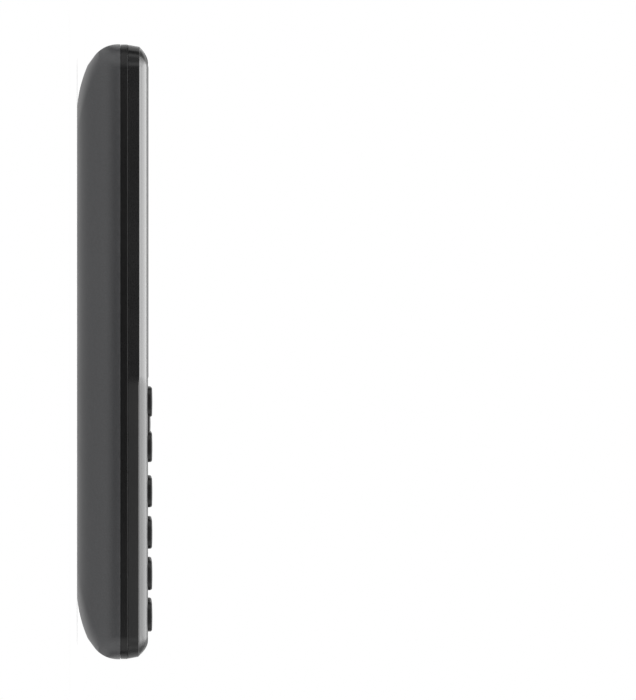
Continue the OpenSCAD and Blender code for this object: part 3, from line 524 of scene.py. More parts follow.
def carved(stock, tool, operation="DIFFERENCE"):
    """One exact Boolean of two closed solids; both are used up, and the result is a new bmesh."""
    stock, tool = placed("stock", mesh_of(stock, "stock")), placed("tool", mesh_of(tool, "tool"))
    step = stock.modifiers.new("carve", "BOOLEAN")
    step.object, step.operation, step.solver = tool, operation, "EXACT"
    result = bmesh.new()
    result.from_object(stock, bpy.context.evaluated_depsgraph_get())
    for used in (stock, tool):
        mesh = used.data
        bpy.data.objects.remove(used)
        bpy.data.meshes.remove(mesh)
    return result


# %% Finishing a piece
rim_from, rim_span = 18.0, 30.0


def mark_rims(bm):
    """Stores how sharp the surface turns at each point, for the edge wear."""
    layer = bm.verts.layers.float.new("rim")
    for vert in bm.verts:
        turns = [e.calc_face_angle(0.0) for e in vert.link_edges if len(e.link_faces) == 2]
        sharpest = math.degrees(max(turns, default=0.0))
        vert[layer] = min(1.0, max(0.0, (sharpest - rim_from) / rim_span))


def finish_piece(bm, name, node=None, sharp_deg=32.0, body=None, finish=None):
    """Turns a bmesh in millimetres into a finished piece that rides on its body."""
    mark_rims(bm)
    bmesh.ops.scale(bm, vec=(MM, MM, MM), verts=bm.verts)
    mesh = mesh_of(bm, name)
    mesh.polygons.foreach_set("use_smooth", [True] * len(mesh.polygons))
    mesh.set_sharp_from_angle(angle=math.radians(sharp_deg))
    mesh.materials.append(FINISH[finish or SLOT_OF[node]])
    piece = placed(name, mesh)
    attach(piece, body or BODY_OF[node])
    if node:
        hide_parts(node)


# %% [markdown]
# ## Back cover
# The cover is the largest moulding: its long sides roll under in a quarter ellipse, its back bows up toward
# both ends, and a facet with a round turn cuts each end. A subdivided box would blur those creases, so the
# skin follows the same ellipse and bow as the mould, and the facet is planed off by a fan of bisecting planes.

# %% Form of the cover
cover_wall, seam_gap, rim_chamfer = 1.2, 0.1, 0.02
side_round, side_straight = 9.3, 0.9
end_bow, bow_rise = 11.6, 4.14
facet_deg, facet_turn, facet_drop = 37.3, 6.0, 0.37
corner_gain = 0.35
bow_steps, side_steps, facet_steps, corner_steps = 22, 9, 10, 14
spare = 1.0  # how far a cutter reaches past a face
side_round_z = seam_z - side_straight
facet_z = seam_z - facet_drop


def cover_level(z, length, depth):
    q = max(0.0, (side_round_z - z) / (side_round_z - depth))
    width = half_w - side_round + (side_round - depth) * math.sqrt(max(0.0, 1.0 - q * q))
    return (z, width, length, corner_r - depth + corner_gain * (half_w - depth - width))


def cover_levels(depth, top, chamfer):
    levels = []
    for i in range(bow_steps + 1):
        f = i / bow_steps
        rise = bow_rise * (f + 3 * f * f) / 4
        levels.append(cover_level(depth + rise, half_l - end_bow + (end_bow - depth) * f, depth))
    start = depth + bow_rise
    for i in range(1, side_steps + 1):
        levels.append(cover_level(start + (side_round_z - start) * i / side_steps, half_l - depth, depth))
    if chamfer:
        levels.append(cover_level(top - chamfer, half_l - depth, depth))
    z, width, length, radius = cover_level(top, half_l - depth, depth)
    levels.append((z, width - chamfer, length - chamfer, radius - chamfer))
    return levels


def planed_ends(bm, depth):
    """Cuts the facet and its round turn across both ends, one flat after another."""
    for end in (-1, 1):
        hub = Vector((0.0, end * (half_l - facet_turn), facet_z))
        for k in range(facet_steps):
            lean = math.radians(facet_deg + (90.0 - facet_deg) * k / facet_steps)
            out = Vector((0.0, end * math.sin(lean), -math.cos(lean)))
            bmesh.ops.edgeloop_fill(bm, edges=sliced(bm, hub + out * (facet_turn - depth), out, clear=True))
    bmesh.ops.recalc_face_normals(bm, faces=bm.faces)
    return bm


def cover_form(depth, top, chamfer=0.0):
    """The closed form of the cover, or one that lies a given depth inside it."""
    return planed_ends(skin(cover_levels(depth, top, chamfer), corner_steps), depth)


cover = cover_form(0.0, seam_z - seam_gap, rim_chamfer)
hollow = cover_form(cover_wall, seam_z + spare)
print("cover skin", len(cover.faces), "faces, hollow", len(hollow.faces))

# %% Torch boss and hollow
torch_boss, torch_clear = 0.55, 0.1
boss_l, boss_in, boss_rise = 7.0, 0.1, 0.35
boss_r = torch_r + torch_boss


def at_torch(profile, steps=96):
    """A turned piece on the torch's axis; its heights count from the top end."""
    return toward_end(turned_solid(profile, steps), torch_x, half_l, torch_z, 1)


boss = at_torch([(0.0, -boss_l), (boss_r, -boss_l), (boss_r, -boss_in), (0.0, -boss_in)])
boss = carved(boss, cover_form(-boss_rise, seam_z - seam_gap), "INTERSECT")
cover = carved(carved(cover, boss, "UNION"), hollow)
print("cover shell", len(cover.faces), "faces")

# %% Openings of the cover
usb_low, usb_high = box_mm("usb_shell")
usb_corner, port_clear, port_l, bore_l, past_mouth = 0.9, 0.2, 0.4, 8.0, 0.5
jack_x, jack_z, jack_r, jack_flare = middle_mm("audio_jack")[0], 6.3, 1.95, 0.18
mic_x, mic_z, mic_r, mic_flare, mic_l = middle_mm("microphone")[0], 8.0, 0.55, 0.1, 3.0


def end_hole(x, z, radius, flare, depth=bore_l):
    """Cutter for a round hole through the rounded bottom end, with a flared mouth."""
    mouth = arc_fall(facet_turn, facet_z - z)
    profile = [(0.0, -depth), (radius, -depth), (radius, -mouth - flare), (radius + 2 * flare + mouth, past_mouth),
               (0.0, past_mouth)]
    return toward_end(turned_solid(profile), x, -half_l, z, -1)


def end_block(low, high):
    bm = bmesh.new()
    bmesh.ops.create_cube(bm, size=1.0)
    bmesh.ops.scale(bm, vec=Vector(high) - Vector(low), verts=bm.verts)
    return move(bm, *((Vector(high) + Vector(low)) / 2))


def usb_tool():
    """Cutter for the charging socket: a block whose two upper corners slope like the plug's."""
    bm = end_block((usb_low.x - port_clear, -half_l - spare, usb_low.z - port_clear),
                   (usb_high.x + port_clear, usb_high.y + port_l, usb_high.z + port_clear))
    corners = [e for e in bm.edges if all(v.co.z > usb_high.z for v in e.verts)
               and abs(e.verts[0].co.x - e.verts[1].co.x) < 0.01]
    bmesh.ops.bevel(bm, geom=corners, offset=usb_corner, offset_type="OFFSET", affect="EDGES", segments=1,
                    profile=0.5, material=-1)
    return bm


def torch_tool(depth=bore_l):
    room = torch_r + torch_clear
    return at_torch([(0.0, -depth), (room, -depth), (room, spare), (0.0, spare)])


pill_flat = 0.02


def pill(half_x, height, z0, z1, y):
    """Cutter for a slot with round ends."""
    return slab(half_x, height / 2, height / 2 - pill_flat, z0, z1, 0.0, y)


back_l = 3.0
slot_h, slot_pitch, slot_count, slot_margin = 1.1, 2.1, 5, 1.0
slot_half = half_mm("speaker_mesh")[0] - slot_margin
speaker_y, camera_y = middle_mm("speaker_mesh")[1], middle_mm("camera_window")[1]
window_clear, window_bed, camera_r = 0.05, 0.75, 2.6
window_r = half_mm("camera_window")[0] + window_clear
window = [(0.0, -spare), (window_r, -spare), (window_r, window_bed), (camera_r, window_bed), (camera_r, back_l),
          (0.0, back_l)]
tools = [torch_tool(), usb_tool(), end_hole(jack_x, jack_z, jack_r, jack_flare),
         end_hole(mic_x, mic_z, mic_r, mic_flare, mic_l), move(turned_solid(window), 0.0, camera_y)]
tools += [pill(slot_half, slot_h, -spare, back_l, speaker_y + slot_pitch * (i - slot_count // 2))
          for i in range(slot_count)]
cover = carved(cover, joined(*tools))

# %% Pry notch at one corner, and a soft edge round the torch hood
notch_l, notch_d, notch_low, notch_high = 5.4, 0.8, 0.3, 0.55
hood_round, hood_l, hood_turn = 0.16, 5.0, math.radians(30)
hood_near, hood_under = 0.02, 0.05


def pry_tool():
    block = end_block((half_w - notch_l, -half_l - spare, seam_z - notch_low),
                      (half_w + spare, notch_l - half_l, seam_z + notch_high))
    return carved(block, slab(half_w - notch_d, half_l - notch_d, corner_r - notch_d, seam_z - 2 * spare,
                              seam_z + 2 * spare))


def on_hood(vert):
    """True on the outer wall of the torch hood, below the seam."""
    away = math.hypot(vert.co.x - torch_x, vert.co.z - torch_z)
    low_enough = vert.co.z < seam_z - seam_gap - hood_under
    return abs(away - boss_r) < hood_near and vert.co.y > half_l - hood_l and low_enough


cover = carved(cover, pry_tool())
hood_edge = [e for e in cover.edges if len(e.link_faces) == 2 and e.is_convex and all(on_hood(v) for v in e.verts)
             and e.calc_face_angle(0.0) > hood_turn]
bmesh.ops.bevel(cover, geom=hood_edge, offset=hood_round, offset_type="OFFSET", affect="EDGES", segments=2,
                profile=0.5, clamp_overlap=True, material=-1)
print("hood edges rounded:", len(hood_edge))
finish_piece(cover, "cover_shell", node="back_cover", sharp_deg=24.0)
print("back cover done")

# %% [markdown]
# ## Frame
# Only the outer rim of the black frame shows between the cover and the front shell. The frame keeps its CAD
# form inside, while its square rim is cut away for one with a chamfer along the upper edge: in the light from
# above that edge draws the thin pale line that runs round the phone at the seam. A lip under the rim closes
# the gap to the cover, so no light shows through it.

# %% Frame with a chamfered rim
band_in, band_wall, band_chamfer = 0.06, 0.5, 0.16
lip_in, lip_gap = 0.25, 0.02
rim_under, rim_over = 0.01, 0.5


def body_level(z, inset):
    """A level that lies an even distance inside the body's outline."""
    return (z, half_w - inset, half_l - inset, corner_r - inset)


def cad_copy(node):
    """A CAD mesh as a closed bmesh in millimetres, with its doubled points merged."""
    bm = bmesh.new()
    bm.from_mesh(NODES[node].data)
    bmesh.ops.scale(bm, vec=(1 / MM, 1 / MM, 1 / MM), verts=bm.verts)
    bmesh.ops.remove_doubles(bm, verts=bm.verts, dist=1e-4)
    bmesh.ops.recalc_face_normals(bm, faces=bm.faces)
    return bm


def rim_inside():
    return slab(*body_level(0.0, band_wall)[1:], seam_z - spare, split_z + spare, segments=corner_steps)


old_rim = slab(half_w + spare, half_l + spare, corner_r, seam_z - rim_under, split_z + rim_over)
old_rim = carved(old_rim, rim_inside())
new_rim = skin([body_level(split_z, band_in + band_chamfer), body_level(split_z - band_chamfer, band_in),
                body_level(seam_z, band_in), body_level(seam_z, lip_in),
                body_level(seam_z - seam_gap + lip_gap, lip_in)], corner_steps)
for tool in (rim_inside(), pry_tool(), torch_tool(), usb_tool()):
    new_rim = carved(new_rim, tool)
frame_core = carved(cad_copy("mid_frame"), old_rim)
finish_piece(joined(frame_core, new_rim), "frame_body", node="mid_frame", sharp_deg=26.0)
print("frame done")

# %% [markdown]
# ## Front shell
# The front shell has a drafted side, a crisp shoulder and a crown that flattens into the front. The shoulder
# steps down a little where the display ends and the keypad begins. Key openings, the display recess and the
# cavity are carved from one solid, so the walls keep their true thickness where a key is pressed.

# %% Form of the front shell
shoulder_in, split_in, split_chamfer = 0.65, 0.12, 0.03
brow_drop, brow_in, side_loop = 0.1, 0.5, 0.2
brow_z = shoulder_z - brow_drop
crown_steps = 14
step_drop, step_rows, step_reach = 0.2, 6, crown_h - 0.1
front_levels = [body_level(front_z - crown_h * (k / crown_steps) ** 2,
                           shoulder_in + crown_in * (1 - k / crown_steps)) for k in range(crown_steps + 1)]
for z in (brow_z, brow_z - side_loop, split_z + side_loop, split_z + split_chamfer):
    front_levels.append(body_level(z, split_in + (brow_in - split_in) * (z - split_z) / (brow_z - split_z)))
front_levels.append(body_level(split_z, split_in + split_chamfer))
front = skin(front_levels, corner_steps)
cut_rows(front, [step_y + step_run * (row / step_rows - 0.5) for row in range(step_rows + 1)])
for vert in front.verts:
    run = min(1.0, max(0.0, (step_y + step_run / 2 - vert.co.y) / step_run))
    near = max(0.0, 1.0 - abs(vert.co.z - shoulder_z) / step_reach)
    vert.co.z -= step_drop * near * run * run * (3 - 2 * run)

# %% Cavity, openings and recess of the front shell
front_wall, front_bore = 1.45, 3.65
plate_z, ceiling_z, recess_z = 12.4, 11.95, 12.65
flange, key_r, key_clear = 0.5, 1.6, 0.15
nav_r, nav_clear = 4.0, 0.25
lens_r, lens_clear = 2.2, 0.1
KEYS = sorted(node for node in NODES if node.startswith("key_"))
nav_y, lens_y = middle_mm("nav_ring")[1], middle_mm("display_lens")[1]
nav_half_x, nav_half_y, _ = half_mm("nav_ring")
lens_half_x, lens_half_y, _ = half_mm("display_lens")
_, cavity_x, cavity_y, _ = body_level(0.0, shoulder_in + front_wall)
keypad_room, keypad_r = 0.35, 2.0
keypad_low, keypad_high = -cavity_y, box_mm("key_soft_left")[1].y + keypad_room


def key_place(node):
    x, y, _ = middle_mm(node)
    half_x, half_y, _ = half_mm(node)
    return x, y, half_x - flange, half_y - flange


def opening(half_x, half_y, radius, clear, floor_z, x, y):
    """Cutter for an opening in the front, a clearance wider than what sits in it."""
    return slab(half_x + clear, half_y + clear, radius + clear, floor_z, front_z + spare, x, y)


front = carved(front, slab(cavity_x, cavity_y, corner_r - front_wall, split_z - spare, ceiling_z))
front = carved(front, slab(cavity_x, (keypad_high - keypad_low) / 2, keypad_r, split_z - spare, plate_z, 0.0,
                           (keypad_high + keypad_low) / 2))
openings = []
for node in KEYS:
    x, y, half_x, half_y = key_place(node)
    openings.append(opening(half_x, half_y, key_r, key_clear, plate_z - spare, x, y))
openings.append(opening(nav_half_x, nav_half_y, nav_r, nav_clear, plate_z - spare, 0.0, nav_y))
openings.append(opening(lens_half_x, lens_half_y, lens_r, lens_clear, recess_z, 0.0, lens_y))
front = carved(carved(front, joined(*openings)), torch_tool(front_bore))
finish_piece(front, "front_shell", node="front_housing", sharp_deg=26.0)
print("front shell done,", len(KEYS), "key openings")

# %% [markdown]
# ## Display lens
# The lens is a flat acrylic window with a rounded upper edge and a slot for the earpiece. A polished edge
# catches the light as a thin line, which is what shows of it from the side.

# %% Display lens
lens_round, fillet_steps, apron = 0.32, 5, 0.25
lens_low, lens_high = box_mm("display_lens")
ear_y, ear_w, ear_h = middle_mm("earpiece_mesh")[1], 9.0, 1.4


def rounded_top(top, half_x, half_y, radius, fillet):
    """Levels of a flat top with a quarter round along its rim; an apron keeps the shading of the top flat."""
    rows = [(0.0, fillet + apron)]
    rows += [(fillet * (1 - math.cos(lean)), fillet * (1 - math.sin(lean))) for lean in quarter_turn(fillet_steps)]
    return [(top - drop, half_x - inset, half_y - inset, radius - inset) for drop, inset in rows]


lens_levels = rounded_top(lens_high.z, lens_half_x, lens_half_y, lens_r, lens_round)
lens_levels.append((lens_low.z, lens_half_x, lens_half_y, lens_r))
lens = move(skin(lens_levels), 0.0, lens_y)
lens = carved(lens, pill(ear_w / 2, ear_h, lens_low.z - spare, lens_high.z + spare, ear_y))
finish_piece(lens, "display_window", node="display_lens", sharp_deg=30.0)
print("display lens done")

# %% [markdown]
# ## Keys
# One key cap is a rounded block with a flange that holds it under the plate, a fillet round its top and a
# slight crown along its length. All sixteen caps share the shape, so one function makes it and the CAD boxes
# place it. Bisecting planes give the top enough rows to bend.

# %% Key caps
flange_t, ledge, crown_from, key_steps = 0.6, 0.01, 0.2, 10
key_crown, key_fillet, crown_rows = 45.0, 0.36, 10
key_low, key_high = box_mm(KEYS[0])


def crown_cuts(half_y):
    return [(2 * row / crown_rows - 1) * half_y for row in range(1, crown_rows)]


def key_cap(half_x, half_y):
    foot, shelf = key_low.z, key_low.z + flange_t
    levels = rounded_top(key_high.z, half_x, half_y, key_r, key_fillet)
    levels.append((shelf + ledge, half_x, half_y, key_r))
    levels += [(z, half_x + flange, half_y + flange, key_r + flange) for z in (shelf, foot)]
    bm = skin(levels, key_steps)
    cut_rows(bm, crown_cuts(half_y))
    for vert in bm.verts:
        if vert.co.z > shelf + crown_from:
            vert.co.z -= arc_fall(key_crown, vert.co.y)
    bmesh.ops.recalc_face_normals(bm, faces=bm.faces)
    return bm


for node in KEYS:
    x, y, half_x, half_y = key_place(node)
    finish_piece(move(key_cap(half_x, half_y), x, y), "cap_" + node, node=node, sharp_deg=38.0)
print(len(KEYS), "key caps")

# %% [markdown]
# ## Key printing
# The legends are generic digits and signs. Text is made a mesh, cut into rows by the same planes as the key
# tops and laid on the crown a hundredth of a millimetre proud, as a printed ink film is.

# %% Legends
LEGENDS = {"key_star": "*", "key_hash": "#"}
LEGENDS.update({f"key_{digit}": str(digit) for digit in range(10)})
legend_size, ink_lift = 3.6, 0.015
sign_r, sign_share, sign_cut, sign_drop = 1.6, 0.68, 0.35, 0.8
cup_size, cup_x, cup_y = 0.42, 1.32, 0.15
bar_half, bar_h = 1.5, 0.22


def text_film(body, size):
    """A flat bmesh of one line of text, centred on its own box."""
    curve = bpy.data.curves.new("legend", "FONT")
    curve.body, curve.size = body, size
    drawn = placed("legend", curve)
    film = bpy.data.meshes.new_from_object(drawn.evaluated_get(bpy.context.evaluated_depsgraph_get()))
    bm = bmesh.new()
    bm.from_mesh(film)
    bpy.data.meshes.remove(film)
    bpy.data.objects.remove(drawn)
    bpy.data.curves.remove(curve)
    xs = [v.co.x for v in bm.verts]
    ys = [v.co.y for v in bm.verts]
    return move(bm, -(min(xs) + max(xs)) / 2, -(min(ys) + max(ys)) / 2)


def handset_sign():
    """A plain telephone receiver: a bow with two ends."""
    bm = bmesh.new()
    bmesh.ops.create_circle(bm, cap_ends=False, radius=sign_r, segments=40)
    grown = bmesh.ops.extrude_edge_only(bm, edges=bm.edges[:])["geom"]
    bmesh.ops.scale(bm, vec=(sign_share, sign_share, 1.0), verts=verts_of(grown))
    sliced(bm, (0, sign_cut, 0), (0, -1, 0), clear=True)
    for side in (-1, 1):
        cup = bmesh.ops.create_grid(bm, x_segments=1, y_segments=1, size=cup_size)["verts"]
        bmesh.ops.translate(bm, vec=(side * cup_x, cup_y, 0), verts=cup)
    return move(bm, 0.0, -sign_drop)


def bar_sign():
    bm = bmesh.new()
    bmesh.ops.create_grid(bm, x_segments=1, y_segments=1, size=1.0)
    bmesh.ops.scale(bm, vec=(bar_half, bar_h, 1.0), verts=bm.verts)
    return bm


def print_on_key(bm, node, name, finish):
    x, y, _, half_y = key_place(node)
    cut_rows(bm, crown_cuts(half_y))
    for vert in bm.verts:
        vert.co.z = key_high.z - arc_fall(key_crown, vert.co.y) + ink_lift
    for face in bm.faces:
        face.normal_update()
        if face.normal.z < 0:
            face.normal_flip()
    finish_piece(move(bm, x, y), name, body=BODY_OF[node], finish=finish)


moulded("call_print", 0.30, (0.25, 1.3, 0.3), 0.5, **INK)
moulded("end_print", 0.30, (1.5, 0.12, 0.1), 0.5, **INK)
for node, sign in LEGENDS.items():
    print_on_key(text_film(sign, legend_size), node, "print_" + node, "key_print")
for node in ("key_soft_left", "key_soft_right"):
    print_on_key(bar_sign(), node, "print_" + node, "key_print")
print_on_key(handset_sign(), "key_call", "print_key_call", "call_print")
laid_down = handset_sign()
laid_turn = Matrix.Rotation(math.radians(135), 3, "Z")
bmesh.ops.rotate(laid_down, cent=(0, 0, 0), matrix=laid_turn, verts=laid_down.verts)
print_on_key(laid_down, "key_end", "print_key_end", "end_print")
print(len(LEGENDS) + 4, "legends")

# %% [markdown]
# ## Navigation keys
# The ring tilts under the thumb, so it is dished toward the round key in its middle. Its top is a band of
# quads from the rounded outline to the round hole: the inner rim is an extrusion pulled onto a circle.

# %% Navigation ring
ok_low, ok_high = box_mm("nav_ok")
nav_low, nav_high = box_mm("nav_ring")
ok_r = half_mm("nav_ok")[0] - flange
ring_hole = ok_r + nav_clear
ring_fillet, dish, dish_rows = 0.35, 0.25, 6
ring_levels = [(nav_low.z, nav_half_x, nav_half_y, nav_r)]
for lean in quarter_turn(fillet_steps):
    inset, drop = ring_fillet * (1 - math.cos(lean)), ring_fillet * (1 - math.sin(lean))
    ring_levels.append((nav_high.z - drop, nav_half_x - inset, nav_half_y - inset, nav_r - inset))
ring = skin(ring_levels, corner_steps, closed=False)
bmesh.ops.delete(ring, geom=[f for f in ring.faces if len(f.verts) > 4], context="FACES_ONLY")
top_rim = [e for e in ring.edges if e.is_boundary and e.verts[0].co.z > nav_high.z - 0.01]
for k in range(1, dish_rows + 1):
    grown = bmesh.ops.extrude_edge_only(ring, edges=top_rim)["geom"]
    top_rim = edges_of(grown)
    share = 1.0 / (dish_rows + 1 - k)
    for vert in verts_of(grown):
        flat = Vector((vert.co.x, vert.co.y))
        vert.co.x, vert.co.y = flat.lerp(flat.normalized() * ring_hole, share)
        vert.co.z = nav_high.z - dish * math.sin(math.pi / 2 * k / dish_rows)
wall = bmesh.ops.extrude_edge_only(ring, edges=top_rim)["geom"]
for vert in verts_of(wall):
    vert.co.z = nav_low.z
bmesh.ops.bridge_loops(ring, edges=[e for e in ring.edges if e.is_boundary])
bmesh.ops.recalc_face_normals(ring, faces=ring.faces)
finish_piece(move(ring, 0.0, nav_y), "nav_dish", node="nav_ring", sharp_deg=36.0)

# %% Centre key
ok_crown, ok_fillet, ok_rows, ok_flange_t = 24.0, 0.3, 6, 0.3
ok_base = ok_low.z + ok_flange_t
profile = [(0.0, ok_low.z), (ok_r + flange, ok_low.z), (ok_r + flange, ok_base), (ok_r, ok_base + ledge)]
edge_z = ok_high.z - arc_fall(ok_crown, ok_r)
for lean in quarter_turn(fillet_steps):
    profile.append((ok_r - ok_fillet * (1 - math.cos(lean)), edge_z - ok_fillet * (1 - math.sin(lean))))
for k in range(1, ok_rows + 1):
    radius = (ok_r - ok_fillet) * (1 - k / ok_rows)
    profile.append((radius, ok_high.z - arc_fall(ok_crown, radius)))
finish_piece(move(turned_solid(profile, 72), 0.0, nav_y), "nav_centre", node="nav_ok", sharp_deg=36.0)
print("navigation keys done")

# %% [markdown]
# ## Torch
# The torch is a small turned assembly: a dark stepped ring, a clear window and a yellow lamp in its cup.
# Turned parts are spun from their profiles, with small chamfers so that the rings catch a line of light.

# %% Torch ring
torch_face, torch_back = 0.15, half_l - box_mm("torch_bezel")[0].y
ring_w, ring_drop, ring_edge, ring_count = 0.54, 0.45, 0.12, 3
led_r, led_clear, neck, cup_in = 2.45, 0.15, 0.5, 0.3
pane_r, pane_front = torch_r - ring_count * ring_w, torch_face + ring_count * ring_drop
pane_t, pane_gap = 0.4, 0.05
pane_back = pane_front + pane_t + pane_gap
bezel_profile = [(led_r + led_clear, -torch_back), (torch_r, -torch_back)]
for k in range(ring_count):
    outer, face = torch_r - k * ring_w, torch_face + k * ring_drop
    bezel_profile += [(outer, -face - ring_edge), (outer - ring_edge, -face), (outer - ring_w + ring_edge, -face),
                      (outer - ring_w, -face - ring_edge)]
bezel_profile += [(pane_r, -pane_back), (pane_r - cup_in, -pane_back), (led_r + led_clear, neck - torch_back),
                  (led_r + led_clear, -torch_back)]
bezel = at_torch(bezel_profile)


def outside_of(form, low_z, high_z):
    """What lies in front of a form at the top end, as a cutter round the torch."""
    reach = torch_r + spare
    block = end_block((torch_x - reach, half_l - reach, low_z), (torch_x + reach, half_l + spare, high_z))
    return carved(block, form)


facet_form = cover_form(torch_face, split_z)
crown_form = skin([(z, x - torch_face, y - torch_face, r - torch_face) for z, x, y, r in front_levels], corner_steps)
bezel = carved(bezel, joined(outside_of(facet_form, -spare, facet_z), outside_of(crown_form, split_z, front_z)))
finish_piece(bezel, "torch_ring", node="torch_bezel", sharp_deg=28.0)

# %% Torch window and lamp
pane_edge, pane_dome, dome_share = 0.08, 0.05, 0.6
lamp_gap, collar_gap = 0.1, 0.05
rim_r = pane_r - pane_gap
pane = at_torch([(0.0, -pane_front - pane_t), (rim_r, -pane_front - pane_t), (rim_r, -pane_front - pane_edge),
                 (rim_r - pane_edge, -pane_front), (dome_share * rim_r, -pane_front + dome_share * pane_dome),
                 (0.0, -pane_front + pane_dome)])
finish_piece(pane, "torch_window", node="torch_lens", sharp_deg=28.0)

led_tip, lamp_back = pane_back + lamp_gap, half_l - box_mm("torch_led")[0].y
collar_w, collar_l = 0.35, 1.0
collar = torch_back + collar_gap
lamp_profile = [(led_r * math.sin(lean), -led_tip - led_r * (1 - math.cos(lean))) for lean in quarter_turn(12)]
lamp_profile += [(led_r, -collar), (led_r + collar_w, -collar), (led_r + collar_w, -collar - collar_l),
                 (led_r, -collar - collar_l), (led_r, -lamp_back), (0.0, -lamp_back)]
finish_piece(at_torch(lamp_profile, 72), "torch_lamp", node="torch_led", sharp_deg=30.0)
print("torch done")

# %% [markdown]
# ## Everything else keeps its CAD mesh
# The board, the battery and the small parts inside have the right shape already. They only get their
# finishes, so the pose in which the handset lifts off its cover shows a finished inside too.

# %% Finishes of the CAD nodes
for node, item in NODES.items():
    item.data.materials.clear()
    # the charging socket's shell gets the darkened steel, which paints the shade inside the socket
    item.data.materials.append(FINISH["painted_shade_socket_steel" if node == "usb_shell" else SLOT_OF[node]])
print(len(NODES), "nodes finished")

# %% [markdown]
# ## Floor and light
# The phone lies on a white table under one round soft box, which the crown round the front mirrors as a bright
# strip. The room is white to the camera and to reflections, with a dark flag standing off each of the four
# sides: a flat black side mirrors the flag and stays black, while the round corners mirror the lighter wall
# between, which is dimmed higher up.

# %% Floor
floor_half, floor_gap = 3.0, 0.00005
near_reach, far_reach = 0.16, 0.5
table_glow, card_glow = 1.0, 0.12
end_fade, card_fade, corner_fade = (-4.0, 16.0), (8.0, 35.0), (0.0, 16.0)
bm = bmesh.new()
bmesh.ops.create_grid(bm, x_segments=1, y_segments=1, size=floor_half)
floor = placed("floor", mesh_of(move(bm, z=-floor_gap), "floor"))
tree, shader, where = new_finish("paper", Specular_IOR_Level=0.1, Roughness=0.9, Emission_Strength=table_glow)
weave = noise(tree, where, 30.0)
wire(tree, mix(tree, weave, grey(0.50), grey(0.54)), shader.inputs["Base Color"])
axes = axes_of(tree, where)
across, along = maths(tree, "ABSOLUTE", axes["X"]), maths(tree, "ABSOLUTE", axes["Y"])


def fade(distance, edge, start, end, low=0.0, high=1.0):
    """Ramps between two distances, in millimetres, past an edge of the phone."""
    return remap(tree, distance, (edge + start) * MM, (edge + end) * MM, low, high)


def laid_over(surface, mask, strength):
    """A surface with an even glow over it where a mask says so."""
    glow = add_node(tree, "ShaderNodeEmission", {"Strength": strength}).outputs[0]
    return add_node(tree, "ShaderNodeMixShader", {"Fac": mask, 1: surface, 2: glow}).outputs[0]


past_end = fade(along, half_l, *end_fade)
wire(tree, mix(tree, past_end, mix(tree, weave, grey(0.58), grey(0.62)), grey(1.0)), shader.inputs["Emission Color"])
far = remap(tree, length_of(tree, where), near_reach, far_reach)
ray = add_node(tree, "ShaderNodeLightPath").outputs
mirrored = maths(tree, "MAXIMUM", ray["Is Glossy Ray"], ray["Is Transmission Ray"])
seen = maths(tree, "MAXIMUM", ray["Is Camera Ray"], mirrored)
by_side = times(tree, fade(across, half_w, *card_fade), fade(along, half_l, *corner_fade, 1.0, 0.0))
by_end = times(tree, fade(along, half_l, *card_fade), fade(across, half_w, *corner_fade, 1.0, 0.0))
lit = laid_over(shader.outputs[0], times(tree, far, seen), 1.0)
under_card = times(tree, maths(tree, "MAXIMUM", by_side, by_end), ray["Is Glossy Ray"])
wire(tree, laid_over(lit, under_card, card_glow), tree.nodes["Material Output"].inputs["Surface"])
floor.data.materials.append(FINISH["paper"])

# %% World and soft box
room_light, flag_tone, wall_tone = 0.2, 0.06, 0.3
flag_wide, flag_tall, wall_foot, wall_turn = (15, 9), (24, 30), (11, 17), (33, 24)
lamp_radiance, lamp_size, lamp_z = 2.0, 0.9, 0.6
scene = bpy.context.scene
world = bpy.data.worlds.new("studio")
scene.world = world
world.use_nodes = True
tree = world.node_tree
background = tree.nodes["Background"]
ray = add_node(tree, "ShaderNodeLightPath").outputs
mirrored = maths(tree, "MAXIMUM", ray["Is Glossy Ray"], ray["Is Transmission Ray"])
toward = axes_of(tree, add_node(tree, "ShaderNodeTexCoord").outputs["Generated"])
side = maths(tree, "MAXIMUM", maths(tree, "ABSOLUTE", toward["X"]), maths(tree, "ABSOLUTE", toward["Y"]))
flat = maths(tree, "SQRT", maths(tree, "SUBTRACT", 1.0, maths(tree, "POWER", toward["Z"], 2.0)))
compass = maths(tree, "DIVIDE", side, maths(tree, "MAXIMUM", flat, 0.001))


def by_angle(value, trig, start_deg, end_deg, low=0.0, high=1.0):
    """Ramps between two angles of a direction, from its sine or cosine."""
    return remap(tree, value, trig(math.radians(start_deg)), trig(math.radians(end_deg)), low, high)


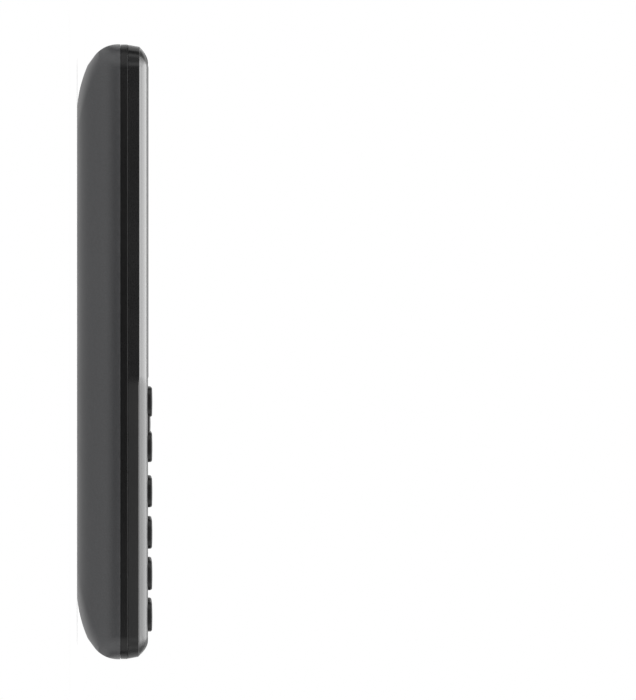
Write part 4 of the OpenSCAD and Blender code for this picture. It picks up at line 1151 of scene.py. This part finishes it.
wide = by_angle(compass, math.cos, *flag_wide)
tall = by_angle(maths(tree, "ABSOLUTE", toward["Z"]), math.sin, *flag_tall, 1.0, 0.0)
aloft = by_angle(toward["Z"], math.sin, *wall_foot)
diagonal = by_angle(compass, math.cos, *wall_turn, 1.0, 0.0)
dim = remap(tree, times(tree, aloft, diagonal), 0.0, 1.0, 1.0, wall_tone)
room = times(tree, dim, remap(tree, times(tree, wide, tall), 0.0, 1.0, 1.0, flag_tone))
soft = maths(tree, "ADD", times(tree, mirrored, room),
             times(tree, maths(tree, "SUBTRACT", 1.0, mirrored), room_light))
shown = times(tree, maths(tree, "SUBTRACT", 1.0, ray["Is Camera Ray"]), soft)
wire(tree, maths(tree, "ADD", shown, ray["Is Camera Ray"]), background.inputs["Strength"])
wire(tree, grey(1.0), background.inputs["Color"])

lamp = bpy.data.lights.new("overhead", "AREA")
lamp.shape, lamp.size = "DISK", lamp_size
lamp.energy = lamp_radiance * math.pi * math.pi * lamp.size ** 2 / 4
overhead = placed("overhead", lamp)
overhead.location = (0.0, 0.0, lamp_z)

# %% [markdown]
# ## Camera
# The photograph shows the phone edge-on. The camera looks square at its left side from two and a half metres,
# with the top end up, and is turned a little so that the phone stands where the photograph has that side.

# %% Camera
photo_w, photo_h = 636, 700
mm_per_pixel = 0.1915
back_px, middle_px = 77.0, 351.75
camera_away, camera_z = 2500.0, 6.8
aim_z = (photo_w / 2 - back_px) * mm_per_pixel
aim_y = (middle_px - photo_h / 2) * mm_per_pixel
sensor = 36.0

lens_data = bpy.data.cameras.new("camera")
lens_data.sensor_width = sensor
lens_data.lens = sensor * camera_away / (photo_h * mm_per_pixel)
lens_data.clip_start, lens_data.clip_end = 0.01, 20.0
camera = placed("camera", lens_data)
forward = Vector((camera_away, 0.0, aim_z - camera_z)).normalized()
up = Vector((0.0, 1.0, 0.0))
right = forward.cross(up)
turn = Matrix((right, up, -forward)).transposed().to_4x4()
camera.matrix_world = Matrix.Translation(Vector((-half_w - camera_away, aim_y, camera_z)) * MM) @ turn
scene.camera = camera
scene.view_settings.view_transform = "Standard"
print(f"camera lens {lens_data.lens:.0f} mm")
